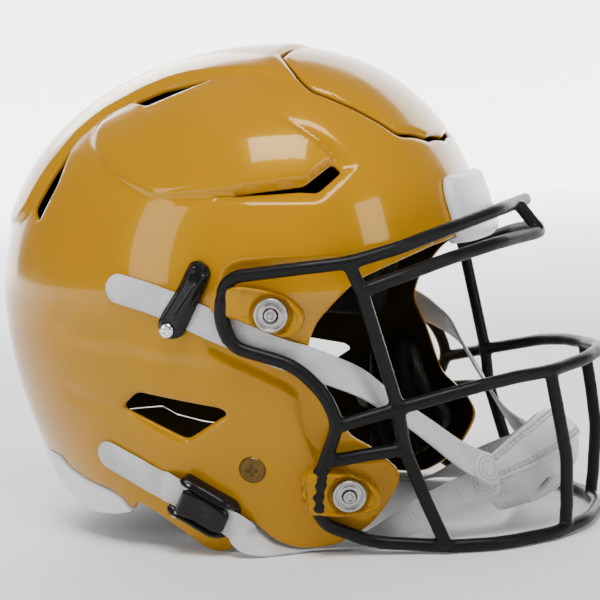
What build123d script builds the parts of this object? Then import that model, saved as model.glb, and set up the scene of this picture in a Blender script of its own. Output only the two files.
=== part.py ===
"""American football helmet with face mask, chin strap and padded liner.

Millimetres. The helmet faces -Y, +X is the wearer's left and +Z is up. The origin is
under the middle of the helmet, on the surface that it stands on. The shell is a dome whose
horizontal sections are superellipses, and what is fixed to it lies between two offsets of it.
"""

import os
from math import cos, hypot, radians, sin, sqrt

from build123d import *

os.makedirs("parts", exist_ok=True)

# --- Shell dome -----------------------------------------------------------------
DOME_HALF_WIDTH = 118.0
DOME_BACK_REACH = 168.6
DOME_FRONT_REACH = 118.0
JAW_EXTRA_REACH = 37.0
DOME_CENTRE_Y = 7.0
EQUATOR_Z = 132.0
CROWN_RISE = 137.5
CROWN_POWER = 2.12
SECTION_POWER = 2.2
JAW_TAPER_DEPTH = 260.0
NAPE_TAPER_DEPTH = 210.0
NAPE_POWER = 1.8
SHELL_THICKNESS = 3.5
CAST_POINT = (0.0, 15.0, 120.0)
JAW_BLEND_HEIGHT = 95.0
JAW_BLEND_ABOVE = 10.0
GRID = 33
GRID_REACH = radians(96)
BACK_REACH = radians(62)
FRONT_REACH = radians(55)
TOP_REACH = radians(60)

# --- Face mask ------------------------------------------------------------------
WIRE_RADIUS = 3.6

# --- Fixings --------------------------------------------------------------------
UPPER_CLIP = (-23.5, 132.0)
LOWER_CLIP = (-55.5, 36.0)
CLIP_HEIGHT = 8.5
WASHER_RADIUS = 9.0
WASHER_HEIGHT = 1.6
BUTTON_RADIUS = 3.4
BUTTON_CLEARANCE = 0.3
BUTTON_FOOT = 4.0
BUTTON_PROUD = 1.4
JAW_SCREW = (-6.5, 47.8)
STRAP_WIDTH = 16.0
STRAP_THICKNESS = 1.6
BRIDGE_TOP = (12.0, 158.0)
BRIDGE_FOOT = (35.0, 120.0)
BRIDGE_CROSSING = (24.0, 132.8)
BRIDGE_WIDTH = 15.0
BUCKLE_CENTRE = (22.0, 27.0)
BUCKLE_HEADING = (-0.86, -0.51)

# --- Flex panel -----------------------------------------------------------------
PANEL_OUTLINE = [(34, -6), (46, -15), (56, -24), (61, -33), (59, -48), (55, -62), (48, -77)]
PANEL_OUTLINE += [(25, -87.5), (0, -90.5)]
PANEL_HINGE_Y = -6
PANEL_MIDDLE_Y = -48
PANEL_LENGTH = 84
PANEL_GAP = 1.4

# --- Sketch planes and cutters --------------------------------------------------
BESIDE = 150
VENT_CUT = 14
BORE_CUT = 10
SHELL_BORE_RADIUS = 3.2
BLOCK_STOCK = 16
BLOCK_SUNK = 6


def smoothstep(t):
    t = min(1.0, max(0.0, t))
    return t * t * (3 - 2 * t)


def dome_scales(z, out=0.0):
    """Width and length factors of the dome's horizontal section at a height."""
    rise = z - EQUATOR_Z
    if rise > 0:
        factor = max(0.0, 1 - (rise / (CROWN_RISE + out)) ** CROWN_POWER) ** (1 / CROWN_POWER)
        return factor, factor
    wide = sqrt(max(0.0, 1 - (rise / (JAW_TAPER_DEPTH + out)) ** 2))
    long = max(0.0, 1 - (-rise / (NAPE_TAPER_DEPTH + out)) ** NAPE_POWER) ** (1 / NAPE_POWER)
    return wide, long


def dome_reach(y, z, out=0.0):
    """Reach of the section forwards or backwards; the jaw reaches further forwards than the brow."""
    if y >= DOME_CENTRE_Y:
        return DOME_BACK_REACH + out
    blend = smoothstep((EQUATOR_Z + JAW_BLEND_ABOVE - z) / JAW_BLEND_HEIGHT)
    return DOME_FRONT_REACH + JAW_EXTRA_REACH * blend + out


def dome_value(point, out=0.0):
    """Below zero inside the dome, above zero outside."""
    x, y, z = point
    wide, long = dome_scales(z, out)
    if wide <= 0 or long <= 0:
        return 1e3
    across = abs(x) / ((DOME_HALF_WIDTH + out) * wide)
    along = abs(y - DOME_CENTRE_Y) / (dome_reach(y, z, out) * long)
    return across**SECTION_POWER + along**SECTION_POWER - 1


def cast(direction, out=0.0):
    """Point of the dome in a direction from the cast point."""
    low, high = 0.0, 400.0
    for _ in range(40):
        middle = (low + high) / 2
        point = [c + d * middle for c, d in zip(CAST_POINT, direction)]
        if dome_value(point, out) < 0:
            low = middle
        else:
            high = middle
    return Vector(*[c + d * low for c, d in zip(CAST_POINT, direction)])


def dome_sheet(out, pole, first, second, reach=GRID_REACH):
    """Smooth face through a square grid of dome points spread around a pole direction."""
    rows = []
    for i in range(GRID):
        row = []
        for j in range(GRID):
            a = (2 * i / (GRID - 1) - 1) * reach
            b = (2 * j / (GRID - 1) - 1) * reach
            angle = hypot(a, b)
            spread = sin(angle) / angle if angle > 1e-9 else 1.0
            tilt = Vector(*first) * a + Vector(*second) * b
            way = Vector(*pole) * cos(angle) + tilt * spread
            row.append(cast(tuple(way), out))
        rows.append(row)
    return Face.make_surface_from_array_of_points(rows, tol=0.1, min_deg=3, max_deg=3)


def offset_face(face, distance):
    """The far side of a thickened sheet."""
    body = Solid.thicken(face, distance)
    target = face.center() + face.normal_at(face.center()) * distance
    return body.faces().sort_by_distance(target)[0]


def facing(face, pole):
    """1 where a sheet's normal points along its pole, -1 where it points back."""
    return 1 if face.normal_at(face.center()).dot(Vector(*pole)) > 0 else -1


def slab(face, pole, low, high):
    """Solid between two offsets of a dome sheet, counted outwards along its pole."""
    moved = face if low == 0 else offset_face(face, low * facing(face, pole))
    return Solid.thicken(moved, (high - low) * facing(moved, pole))


def half_width(y, z, out=0.0):
    """Half-width of the dome at a place of the side view."""
    wide, long = dome_scales(z, out)
    along = abs(y - DOME_CENTRE_Y) / (dome_reach(y, z, out) * long)
    return (DOME_HALF_WIDTH + out) * wide * max(0.0, 1 - along**SECTION_POWER) ** (1 / SECTION_POWER)


def on_dome(y, z, out=0.0):
    """Point of the right side at a place of the side view, moved outwards along the normal."""
    point = Vector(-half_width(y, z), y, z)
    return point + outward_at(y, z) * out


def outward_at(y, z):
    """Outward normal of the right side."""
    step = 0.5
    slope_y = (half_width(y + step, z) - half_width(y - step, z)) / (2 * step)
    slope_z = (half_width(y, z + step) - half_width(y, z - step)) / (2 * step)
    return Vector(-1, -slope_y, -slope_z).normalized()


def side_plane(y, z, out=0.0, heading=(1.0, 0.0)):
    """Plane on the right side with +Z outwards and +X along a heading of the side view."""
    normal = outward_at(y, z)
    along = Vector(0, heading[0], heading[1])
    along = (along - normal * along.dot(normal)).normalized()
    return Plane(origin=on_dome(y, z, out), x_dir=along, z_dir=normal)


def bend_radii(route, limit):
    """Largest arcs that the runs of a route leave room for."""
    radii = []
    for before, corner, after in zip(route, route[1:], route[2:]):
        inward = Vector(*corner) - Vector(*before)
        onward = Vector(*after) - Vector(*corner)
        half_turn = radians(inward.get_angle(onward)) / 2
        shorter = min(inward.length, onward.length)
        radii.append(min(limit, 0.45 * shorter * cos(half_turn) / sin(half_turn)))
    return radii


def across_front(half):
    """A route on the wearer's right, carried on to the left through the middle."""
    return half + [(-x, y, z) for x, y, z in reversed(half) if x != 0]


def keep(piece, label):
    piece.part.label = label
    export_step(piece.part, f"parts/{label}.step")


def keep_pair(piece, label):
    """Write a right-hand piece and its mirror twin as two nodes."""
    keep(piece, f"{label}_right")
    with BuildPart() as twin:
        mirror(piece.part, about=Plane.YZ)
    keep(twin, f"{label}_left")


def keep_both(piece, label):
    """Write a right-hand piece and its mirror twin as one node."""
    with BuildPart() as both:
        add(piece.part)
        mirror(piece.part, about=Plane.YZ)
    keep(both, label)


RIGHT, BACK, FRONT, TOP = (-1, 0, 0), (0, 1, 0), (0, -1, 0), (0, 0, 1)
right_sheet = dome_sheet(0, RIGHT, BACK, TOP)
back_sheet = dome_sheet(0, BACK, RIGHT, TOP, BACK_REACH)
front_sheet = dome_sheet(0, FRONT, RIGHT, TOP, FRONT_REACH)
top_sheet = dome_sheet(0, TOP, RIGHT, BACK, TOP_REACH)

# --- Shell and flex panel -------------------------------------------------------
BROW_EDGE = [(-130, 165), (-103, 163), (-95, 159.6), (-83, 154.3), (-65, 146.5), (-52, 133.5), (-45, 125.5)]
JAW_EDGE = [(-39.5, 112), (-49, 92), (-54.5, 75), (-59, 65), (-72, 56), (-83, 42.5), (-75, 27), (-63, 13)]
LOWER_EDGE = [(-47, 4), (-36, 2.6), (-25, 2.6), (-13.5, 7.5), (-3, 18.5), (2, 18.5), (6, 9), (12, 0), (24, 0)]
LOWER_EDGE += [(33, 6.4), (53, 20)]
NAPE_EDGE = [(66, 26), (70, 20), (75, 26.7), (82.5, 30.8), (99, 34.3), (114, 40), (122, 46), (200, 50)]
OVER_THE_TOP = [(200, 300), (-130, 300)]
SIDE_VENT = [(0, 194), (-36, 195), (-45.5, 194), (-56, 204), (-51, 209), (-38, 198), (-18, 196.3)]
CROWN_VENT = [(72, 243), (61, 241), (26, 254), (54.7, 249.5)]
BACK_VENT = [(108, 219), (118.5, 205), (131, 185), (124, 179), (112, 200)]
EAR_VENT = [(58, 89), (8.5, 81), (5, 78), (30, 63), (69, 80)]

with BuildPart() as shell_half:
    add(slab(right_sheet, RIGHT, 0, -SHELL_THICKNESS))
    with BuildSketch(Plane.YZ.offset(-BESIDE)):
        with BuildLine():
            Polyline(*BROW_EDGE, *JAW_EDGE, *LOWER_EDGE, *NAPE_EDGE, *OVER_THE_TOP, close=True)
        make_face()
    extrude(amount=BESIDE, mode=Mode.INTERSECT)

with BuildPart() as panel_half:
    add(shell_half.part)
    with BuildSketch(Plane.XY.offset(BESIDE)):
        with BuildLine():
            Polyline((0, PANEL_HINGE_Y), *[(-x, y) for x, y in PANEL_OUTLINE], close=True)
        make_face()
        offset(amount=-PANEL_GAP, kind=Kind.INTERSECTION)
        with Locations((0, PANEL_MIDDLE_Y)):
            Rectangle(2 * PANEL_GAP, PANEL_LENGTH - 2 * PANEL_GAP)
    extrude(amount=BESIDE, mode=Mode.INTERSECT)
    split(bisect_by=Plane.YZ, keep=Keep.BOTTOM)

with BuildPart() as flex_panel:
    add(panel_half.part)
    mirror(about=Plane.YZ)
keep(flex_panel, "flex_panel")

with BuildPart() as shell_side:
    add(shell_half.part)
    with BuildSketch(Plane.XY.offset(BESIDE)):
        with BuildLine():
            Polyline((0, PANEL_HINGE_Y), *[(-x, y) for x, y in PANEL_OUTLINE], close=True)
        make_face()
        with Locations((0, PANEL_MIDDLE_Y)):
            Rectangle(4, PANEL_LENGTH)
    extrude(amount=BESIDE, mode=Mode.SUBTRACT)
    for vent in (SIDE_VENT, CROWN_VENT, BACK_VENT, EAR_VENT):
        middle_y = sum(y for y, z in vent) / len(vent)
        middle_z = sum(z for y, z in vent) / len(vent)
        face_plane = side_plane(middle_y, middle_z)
        with BuildSketch(face_plane):
            with BuildLine():
                local = [face_plane.to_local_coords(on_dome(y, z)) for y, z in vent]
                Polyline(*[(p.X, p.Y) for p in local], close=True)
            make_face()
        extrude(amount=VENT_CUT, both=True, mode=Mode.SUBTRACT)
    for y, z in (UPPER_CLIP, LOWER_CLIP, JAW_SCREW):
        with BuildSketch(side_plane(y, z)):
            Circle(SHELL_BORE_RADIUS)
        extrude(amount=BORE_CUT, both=True, mode=Mode.SUBTRACT)

with BuildPart() as shell:
    add(shell_side.part)
    mirror(about=Plane.YZ)
keep(shell, "shell")

# --- Bumpers --------------------------------------------------------------------
BUMPER_GAP = 0.6
BUMPER_FACE = 5.5
BUMPER_WIDTH = 80.0
LIP_DEPTH = 6.0
FRONT_SKETCH = 60
FRONT_CUT = 100
with BuildPart() as front_bumper:
    add(slab(front_sheet, FRONT, BUMPER_GAP, BUMPER_FACE))
    with BuildSketch(Plane.XZ.offset(FRONT_SKETCH)):
        with Locations((0, 179)):
            RectangleRounded(BUMPER_WIDTH, 33, 11)
        with Locations((0, 168.5)):
            Rectangle(BUMPER_WIDTH, 14)
    extrude(amount=FRONT_CUT, mode=Mode.INTERSECT)
with BuildPart() as brow_lip:
    add(slab(front_sheet, FRONT, -LIP_DEPTH, BUMPER_FACE))
    with BuildSketch(Plane.XZ.offset(FRONT_SKETCH)):
        with Locations((0, 160.8)):
            RectangleRounded(BUMPER_WIDTH, 3.5, 1.5)
    extrude(amount=FRONT_CUT, mode=Mode.INTERSECT)
with BuildPart() as front_bumper_whole:
    add(front_bumper.part)
    add(brow_lip.part)
keep(front_bumper_whole, "front_bumper")

BUMPER_TOP = [(70.5, 19.5), (75.3, 26.2), (82.6, 30.3), (99, 33.8), (114.2, 39.5), (122.2, 45.5), (200, 49.5)]
REAR_FACE = 1.4
REAR_BACK = 5.5
BUMPER_FOOT = [(200, 24), (128, 23), (114, 19), (105, 15.5), (95, 15), (82, 16.5)]
with BuildPart() as rear_bumper_half:
    add(slab(right_sheet, RIGHT, REAR_FACE, -REAR_BACK))
    with BuildSketch(Plane.YZ.offset(-BESIDE)):
        with BuildLine():
            Polyline(*BUMPER_TOP, *BUMPER_FOOT, close=True)
        make_face()
    extrude(amount=BESIDE, mode=Mode.INTERSECT)
with BuildPart() as rear_bumper:
    add(rear_bumper_half.part)
    mirror(about=Plane.YZ)
keep(rear_bumper, "rear_bumper")

# --- Face mask ------------------------------------------------------------------
BROW_JOIN = (-123, -21, 154)
BOTTOM_JOIN = (-90, -86.5, 4.9)
BROW_BAR = [BROW_JOIN, (-121, -41, 156), (-114, -66, 158), (-98, -89, 164)]
BROW_BAR += [(-74, -109, 171), (-35, -128, 177.5)]
SIDE_LOOP = [
    BROW_JOIN,
    (-125, -1, 152),
    (-125.2, 2, 130),
    (-123.8, -3, 115.5),
    (-120.5, -36, 105.5),
    (-118.5, -51, 90),
    (-116.5, -57, 74),
    (-112, -45.5, 49),
    (-109.5, -40, 30),
    (-104.5, -43, 17.5),
    (-94, -67, 6.2),
    BOTTOM_JOIN,
]
BOTTOM_BAR = [BOTTOM_JOIN, (-86, -106, 3.6), (-76, -131, 3.6), (-50, -155, 3.6), (-20, -167, 4.6)]
LOWER_BROW_BAR = [(-111, -71, 143), (-100, -89, 149), (-80, -110, 156), (-50, -130, 161)]
MID_BAR = [(-116.4, -56.6, 73), (-101.5, -85, 80), (-82, -124.5, 89), (-66, -142, 91.5)]
MID_BAR += [(-50, -156, 92), (-22, -169, 94)]
UPRIGHT = [(-113.5, -65, 158), (-111, -71, 142.5), (-106, -78, 111.5), (-101, -85, 80)]
UPRIGHT += [(-99, -87, 58), (-94, -96, 30)]
FRONT_UPRIGHT = [(-50, -155.5, 92), (-48, -159.5, 65), (-45, -162, 44), (-41, -160.5, 18), (-39, -159, 4.5)]
SIDE_BAR = [(-112.8, -47, 53), (-107, -67, 56), (-99, -87, 58)]
BEND_LIMIT = 45.0


def bar(route):
    """Round wire along straight runs joined by arcs."""
    with BuildPart() as tube:
        with BuildLine() as path:
            FilletPolyline(*route, radius=bend_radii(route, BEND_LIMIT))
        with BuildSketch(Plane(origin=path.line @ 0, z_dir=path.line % 0)):
            Circle(WIRE_RADIUS)
        sweep(path=path.wire())
    return tube


brow_bar = bar(across_front(BROW_BAR))
keep(brow_bar, "mask_brow_bar")
lower_brow_bar = bar(across_front(LOWER_BROW_BAR + [(0, -142, 161.5)]))
keep(lower_brow_bar, "mask_lower_brow_bar")
mid_bar = bar(across_front(MID_BAR + [(0, -172, 95)]))
keep(mid_bar, "mask_mid_bar")
bottom_bar = bar(across_front(BOTTOM_BAR))
keep(bottom_bar, "mask_bottom_bar")
side_loop = bar(SIDE_LOOP)
keep_pair(side_loop, "mask_side_loop")
upright = bar(UPRIGHT + [(-88, -105, 3.8)])
keep_pair(upright, "mask_upright")
front_upright = bar(FRONT_UPRIGHT)
keep_pair(front_upright, "mask_front_upright")
side_bar = bar(SIDE_BAR)
keep_pair(side_bar, "mask_side_bar")
with BuildPart() as brow_link:
    with BuildLine() as path:
        Line((0, -130.5, 177), (0, -142, 162))
    with BuildSketch(Plane(origin=path.line @ 0, z_dir=path.line % 0)):
        Circle(WIRE_RADIUS)
    sweep(path=path.wire())
keep(brow_link, "mask_brow_link")

# --- Mask clips, washers, release buttons and nuts ------------------------------
UPPER_CLIP_SHAPE = [(6, 134), (6.5, 144), (-8, 147.5), (-22, 145), (-33, 139.5), (-39.5, 132)]
UPPER_CLIP_SHAPE += [(-38.5, 124), (-31, 119.5), (-23, 122.2), (-14, 126.2), (-5, 130.2)]
LOWER_CLIP_SHAPE = [(-33, 25), (-33, 48), (-42, 50), (-54, 48), (-66, 42), (-71, 35)]
LOWER_CLIP_SHAPE += [(-69, 28), (-61, 25), (-50, 24)]
CLIP_BORE = BUTTON_RADIUS + BUTTON_CLEARANCE


def mask_clip(outline, centre):
    """Plastic block on the shell with a saddle for the mask wire and a bore for the button."""
    face_plane = side_plane(*centre)
    with BuildPart() as clip:
        add(slab(right_sheet, RIGHT, 0, BLOCK_STOCK))
        with BuildSketch(face_plane.offset(-BLOCK_SUNK)):
            with BuildLine():
                local = [face_plane.to_local_coords(on_dome(y, z)) for y, z in outline]
                Polyline(*[(p.X, p.Y) for p in local], close=True)
            make_face()
            fillet(vertices(), radius=2.5)
        extrude(amount=BLOCK_SUNK + CLIP_HEIGHT, mode=Mode.INTERSECT)
        add(side_loop.part, mode=Mode.SUBTRACT)
        with BuildSketch(face_plane.offset(-BLOCK_SUNK)):
            Circle(CLIP_BORE)
        extrude(amount=BLOCK_SUNK + CLIP_HEIGHT, mode=Mode.SUBTRACT)
    return clip


upper_clip = mask_clip(UPPER_CLIP_SHAPE, UPPER_CLIP)
keep_pair(upper_clip, "mask_clip_upper")
lower_clip = mask_clip(LOWER_CLIP_SHAPE, LOWER_CLIP)
keep_pair(lower_clip, "mask_clip_lower")

with BuildPart() as washers:
    for centre in (UPPER_CLIP, LOWER_CLIP):
        with BuildSketch(side_plane(*centre).offset(CLIP_HEIGHT)):
            Circle(WASHER_RADIUS)
            Circle(CLIP_BORE, mode=Mode.SUBTRACT)
        extrude(amount=WASHER_HEIGHT)
keep_both(washers, "clip_washers")

for label, centre in (("upper", UPPER_CLIP), ("lower", LOWER_CLIP)):
    with BuildPart() as button:
        with BuildSketch(side_plane(*centre).offset(BUTTON_FOOT)):
            Circle(BUTTON_RADIUS)
        extrude(amount=CLIP_HEIGHT + WASHER_HEIGHT + BUTTON_PROUD - BUTTON_FOOT)
        chamfer(button.faces().sort_by(SortBy.DISTANCE).last.edges(), length=0.5)
    keep_pair(button, f"release_button_{label}")

NUT_RADIUS = 7.0
NUT_HEIGHT = 2.0
NUT_GAP = 0.5
THREAD_RADIUS = 2.8
THREAD_LENGTH = 3.2
with BuildPart() as nuts:
    for centre in (UPPER_CLIP, LOWER_CLIP, JAW_SCREW):
        with BuildSketch(side_plane(*centre).offset(-SHELL_THICKNESS - NUT_GAP)):
            Circle(NUT_RADIUS)
        extrude(amount=-NUT_HEIGHT)
        with BuildSketch(side_plane(*centre).offset(-SHELL_THICKNESS - NUT_GAP - 0.1)):
            Circle(THREAD_RADIUS)
        extrude(amount=THREAD_LENGTH)
keep_both(nuts, "shell_nuts")

with BuildPart() as jaw_screws:
    with BuildSketch(side_plane(*JAW_SCREW).offset(0.1)):
        Circle(7.5)
    extrude(amount=1.4)
    with BuildSketch(side_plane(*JAW_SCREW).offset(1.5)):
        Rectangle(7, 1.4)
        Rectangle(1.4, 7)
    extrude(amount=-0.9, mode=Mode.SUBTRACT)
keep_both(jaw_screws, "jaw_screws")

# --- Strap bridges --------------------------------------------------------------
bridge_middle = tuple((a + b) / 2 for a, b in zip(BRIDGE_TOP, BRIDGE_FOOT))
bridge_run = tuple(b - a for a, b in zip(BRIDGE_TOP, BRIDGE_FOOT))
bridge_length = hypot(*bridge_run)
bridge_plane = side_plane(*bridge_middle, heading=bridge_run)
BRIDGE_HEIGHT = 7.5
STRAP_TUNNEL = 3.2
SCREW_SETBACK = 4.6
SCREW_HEAD_HEIGHT = 1.2
with BuildPart() as bridge:
    add(slab(right_sheet, RIGHT, 0, BLOCK_STOCK))
    with BuildSketch(bridge_plane.offset(-BLOCK_SUNK)):
        SlotOverall(bridge_length, BRIDGE_WIDTH)
    extrude(amount=BLOCK_SUNK + BRIDGE_HEIGHT, mode=Mode.INTERSECT)
    with BuildSketch(bridge_plane.offset(-BLOCK_SUNK)):
        with Locations((bridge_plane.to_local_coords(on_dome(*BRIDGE_CROSSING)).X, 0)):
            Rectangle(STRAP_WIDTH + 4, 2 * BRIDGE_WIDTH)
    extrude(amount=BLOCK_SUNK + STRAP_TUNNEL, mode=Mode.SUBTRACT)
keep_pair(bridge, "strap_bridge")

with BuildPart() as bridge_screws:
    with BuildSketch(bridge_plane.offset(BRIDGE_HEIGHT)):
        with Locations((bridge_length / 2 - SCREW_SETBACK, 0)):
            Circle(3.6)
    extrude(amount=SCREW_HEAD_HEIGHT)
    with BuildSketch(bridge_plane.offset(BRIDGE_HEIGHT + SCREW_HEAD_HEIGHT)):
        with Locations((bridge_length / 2 - SCREW_SETBACK, 0)):
            Rectangle(4, 0.9)
            Rectangle(0.9, 4)
    extrude(amount=-0.8, mode=Mode.SUBTRACT)
keep_both(bridge_screws, "bridge_screws")

# --- Cam buckles ----------------------------------------------------------------
BUCKLE_LENGTH = 36.0
BUCKLE_WIDTH = 24.0
BUCKLE_FLOOR = 3.0
BUCKLE_STOCK = 20
BUCKLE_SUNK = 8
BUCKLE_WALL = 2.8
WALL_HEIGHT = 10.0
PIN_HEIGHT = 8.0
PIN_SETBACK = 12.0
PIN_RADIUS = 1.5
LEVER_THICKNESS = 2.8
LEVER_LIFT = 6.6
LEVER_LENGTH = 27.0
LEVER_EYE_RADIUS = 2.7
buckle_plane = side_plane(*BUCKLE_CENTRE, heading=BUCKLE_HEADING)
pin_plane = Plane(
    origin=buckle_plane.from_local_coords(Vector(-PIN_SETBACK, 0, PIN_HEIGHT)),
    x_dir=buckle_plane.x_dir,
    z_dir=buckle_plane.y_dir,
)
with BuildPart() as buckle:
    add(slab(right_sheet, RIGHT, 0, BUCKLE_STOCK))
    with BuildSketch(buckle_plane.offset(-BUCKLE_SUNK)):
        RectangleRounded(BUCKLE_LENGTH, BUCKLE_WIDTH, 5)
    extrude(amount=BUCKLE_SUNK + WALL_HEIGHT, mode=Mode.INTERSECT)
    with BuildSketch(buckle_plane.offset(BUCKLE_FLOOR)):
        Rectangle(BUCKLE_LENGTH + 4, BUCKLE_WIDTH - 2 * BUCKLE_WALL)
    extrude(amount=WALL_HEIGHT, mode=Mode.SUBTRACT)
    with BuildSketch(pin_plane):
        Circle(PIN_RADIUS)
    extrude(amount=BUCKLE_WIDTH, both=True, mode=Mode.SUBTRACT)
keep_pair(buckle, "buckle_base")

with BuildPart() as buckle_pins:
    with BuildSketch(pin_plane):
        Circle(PIN_RADIUS)
    extrude(amount=BUCKLE_WIDTH / 2 - 0.4, both=True)
keep_both(buckle_pins, "buckle_pins")

LEVER_WIDTH = BUCKLE_WIDTH - 2 * BUCKLE_WALL - 0.8
with BuildPart() as lever:
    with BuildSketch(buckle_plane.offset(LEVER_LIFT)):
        with Locations((1.5, 0)):
            RectangleRounded(LEVER_LENGTH, LEVER_WIDTH, 3)
    extrude(amount=LEVER_THICKNESS)
    with BuildSketch(pin_plane):
        Circle(LEVER_EYE_RADIUS)
    extrude(amount=LEVER_WIDTH / 2, both=True)
    with BuildSketch(pin_plane):
        Circle(PIN_RADIUS + 0.06)
    extrude(amount=BUCKLE_WIDTH, both=True, mode=Mode.SUBTRACT)
keep_pair(lever, "buckle_lever")

# --- Chin cup -------------------------------------------------------------------
CUP_CENTRE = (0, -116, 32)
CUP_RADII = (48, 45, 27)
CUP_TILT = 15
CUP_WALL = 2.6
CUP_PAD = 6.0
CUP_MOUTH = -4.0


def ellipsoid(inset):
    """The cup's outer form, smaller by an inset."""
    with BuildPart() as solid:
        Sphere(1)
        scale(by=tuple(radius - inset for radius in CUP_RADII))
    return solid


def cup_layer(outer, inner):
    """Part of an ellipsoid between two insets, open towards the chin."""
    body, hollow = ellipsoid(outer), ellipsoid(inner)
    with BuildPart() as layer:
        add(body.part)
        add(hollow.part, mode=Mode.SUBTRACT)
        split(bisect_by=Plane.front.offset(-CUP_MOUTH), keep=Keep.TOP)
    return layer


def on_cup(piece):
    """Tilt a cup piece and carry it to the cup's place."""
    return piece.rotate(Axis.X, -CUP_TILT).moved(Location(CUP_CENTRE))


cup_wall = cup_layer(0, CUP_WALL)
cup_cushion = cup_layer(CUP_WALL + 0.1, CUP_WALL + CUP_PAD)
with BuildPart() as chin_cup:
    add(on_cup(cup_wall.part))
keep(chin_cup, "chin_cup")
with BuildPart() as cup_pad:
    add(on_cup(cup_cushion.part))
keep(cup_pad, "chin_cup_pad")

# --- Straps ---------------------------------------------------------------------
LIFT = 0.5 + STRAP_THICKNESS / 2


def shell_stations(places, lift=LIFT):
    """Middle points and cross directions of a strap lying on the right side of the shell."""
    stations = []
    for (y, z), (next_y, next_z) in zip(places, places[1:] + [places[-1]]):
        middle = on_dome(y, z, lift)
        ahead = on_dome(next_y, next_z, lift) - middle
        if ahead.length == 0:
            ahead = middle - stations[-1][0]
        stations.append((middle, outward_at(y, z).cross(ahead).normalized()))
    return stations


def strap(stations):
    """Flat webbing through a row of stations."""
    sections = []
    for i, (middle, across) in enumerate(stations):
        before = stations[max(i - 1, 0)][0]
        after = stations[min(i + 1, len(stations) - 1)][0]
        along = (after - before).normalized()
        across = (across - along * across.dot(along)).normalized()
        section_plane = Plane(origin=middle, x_dir=across, z_dir=along)
        with BuildSketch(section_plane) as section:
            Rectangle(STRAP_WIDTH, STRAP_THICKNESS)
        sections.append(section.sketch)
    with BuildPart() as webbing:
        loft(sections, ruled=True)
    return webbing


UPPER_TAIL = [(71, 147), (58, 144), (45, 140.5), (36, 137.5), (28, 134.5), (20, 131)]
UPPER_TAIL += [(12, 127.5), (4, 124), (-5, 120.5), (-14, 116.5), (-23, 112.5), (-32, 109), (-38, 107)]
UPPER_FREE = [
    (Vector(-107, -53, 100), Vector(0.2, 0.25, 1)),
    (Vector(-99, -66, 92), Vector(0.3, 0.35, 1)),
    (Vector(-85, -80, 77), Vector(0.5, 0.5, 1)),
    (Vector(-70, -93, 62), Vector(0.6, 0.4, 1)),
    (Vector(-58, -107, 47), Vector(0.5, 0.3, 1)),
    (Vector(-52.5, -117, 40), Vector(0.4, 0.2, 1)),
]
upper_strap = strap(shell_stations(UPPER_TAIL) + UPPER_FREE)
keep_pair(upper_strap, "upper_strap")

LOWER_TAIL = [(86, 55), (78, 52), (70, 48.5), (62, 45), (54, 41), (47, 38)]
LOWER_FREE = [
    (Vector(-109, -1, 9.5), Vector(0.4, 0, 0.917)),
    (Vector(-105.5, -7, 6.6), Vector(0.8, 0, 0.6)),
    (Vector(-98, -16, 4.0), Vector(0.97, 0, 0.22)),
    (Vector(-90, -28, 1.8), Vector(1, 0, 0)),
    (Vector(-85, -46, 1.8), Vector(1, 0, 0)),
    (Vector(-80, -62, 5), Vector(0.9, 0.1, 0.4)),
    (Vector(-73, -78, 12), Vector(0.6, 0.2, 0.8)),
    (Vector(-62, -93, 20), Vector(0.3, 0.2, 1)),
    (Vector(-55, -107, 26.5), Vector(0.1, 0.2, 1)),
    (Vector(-52, -117, 30), Vector(0.1, 0.2, 1)),
]
STRAP_IN_BUCKLE = BUCKLE_FLOOR + 0.4 + STRAP_THICKNESS / 2
in_buckle = [
    (buckle_plane.from_local_coords(Vector(reach, 0, STRAP_IN_BUCKLE)), buckle_plane.y_dir)
    for reach in (-BUCKLE_LENGTH / 2 - 1.5, 0, BUCKLE_LENGTH / 2 + 1.5)
]
lower_stations = shell_stations(LOWER_TAIL) + in_buckle
lower_strap = strap(lower_stations + LOWER_FREE)
keep_pair(lower_strap, "lower_strap")

# --- Liner ----------------------------------------------------------------------
PAD_BACKING = 5.5
PAD_CORNER = 9.0


def middle_pad(label, sheet, pole, plane, places, size, depth):
    """Cushion across the middle of the helmet, following the inside of the shell."""
    with BuildPart() as pad:
        add(slab(sheet, pole, -PAD_BACKING, -depth))
        with BuildSketch(plane):
            with Locations(places):
                RectangleRounded(*size, PAD_CORNER)
        extrude(amount=2 * BESIDE, mode=Mode.INTERSECT)
    keep(pad, label)


middle_pad("front_pad", front_sheet, FRONT, Plane.front, (0, 184.5), (116, 33), 28)
middle_pad("back_pad", back_sheet, BACK, Plane.back, (0, 152), (124, 84), 32)
middle_pad("neck_pad", back_sheet, BACK, Plane.back, (0, 81), (132, 46), 24)
middle_pad("crown_pad", top_sheet, TOP, Plane.top, (0, 51), (104, 94), 30)

SIDE_PAD = [(-28, 100), (60, 100), (66, 140), (56, 184), (0, 186), (-24, 168)]
JAW_PAD = [(-41, 90), (-13, 94), (-8, 50), (-13, 14), (-42, 12), (-60, 24), (-72, 42), (-56, 58), (-47, 74)]
FITTING_DEPTH = 7.0


def side_pad(outline, depth):
    """Cushion on the right side, clear of the nuts inside the shell."""
    with BuildPart() as pad:
        add(slab(right_sheet, RIGHT, -FITTING_DEPTH, -depth))
        with BuildSketch(Plane.YZ.offset(-BESIDE)):
            with BuildLine():
                Polyline(*outline, close=True)
            make_face()
            fillet(vertices(), radius=6)
        extrude(amount=BESIDE, mode=Mode.INTERSECT)
    return pad


temple_pad = side_pad(SIDE_PAD, 34)
keep_pair(temple_pad, "side_pad")
jaw_pad = side_pad(JAW_PAD, 28)
keep_pair(jaw_pad, "jaw_pad")
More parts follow.
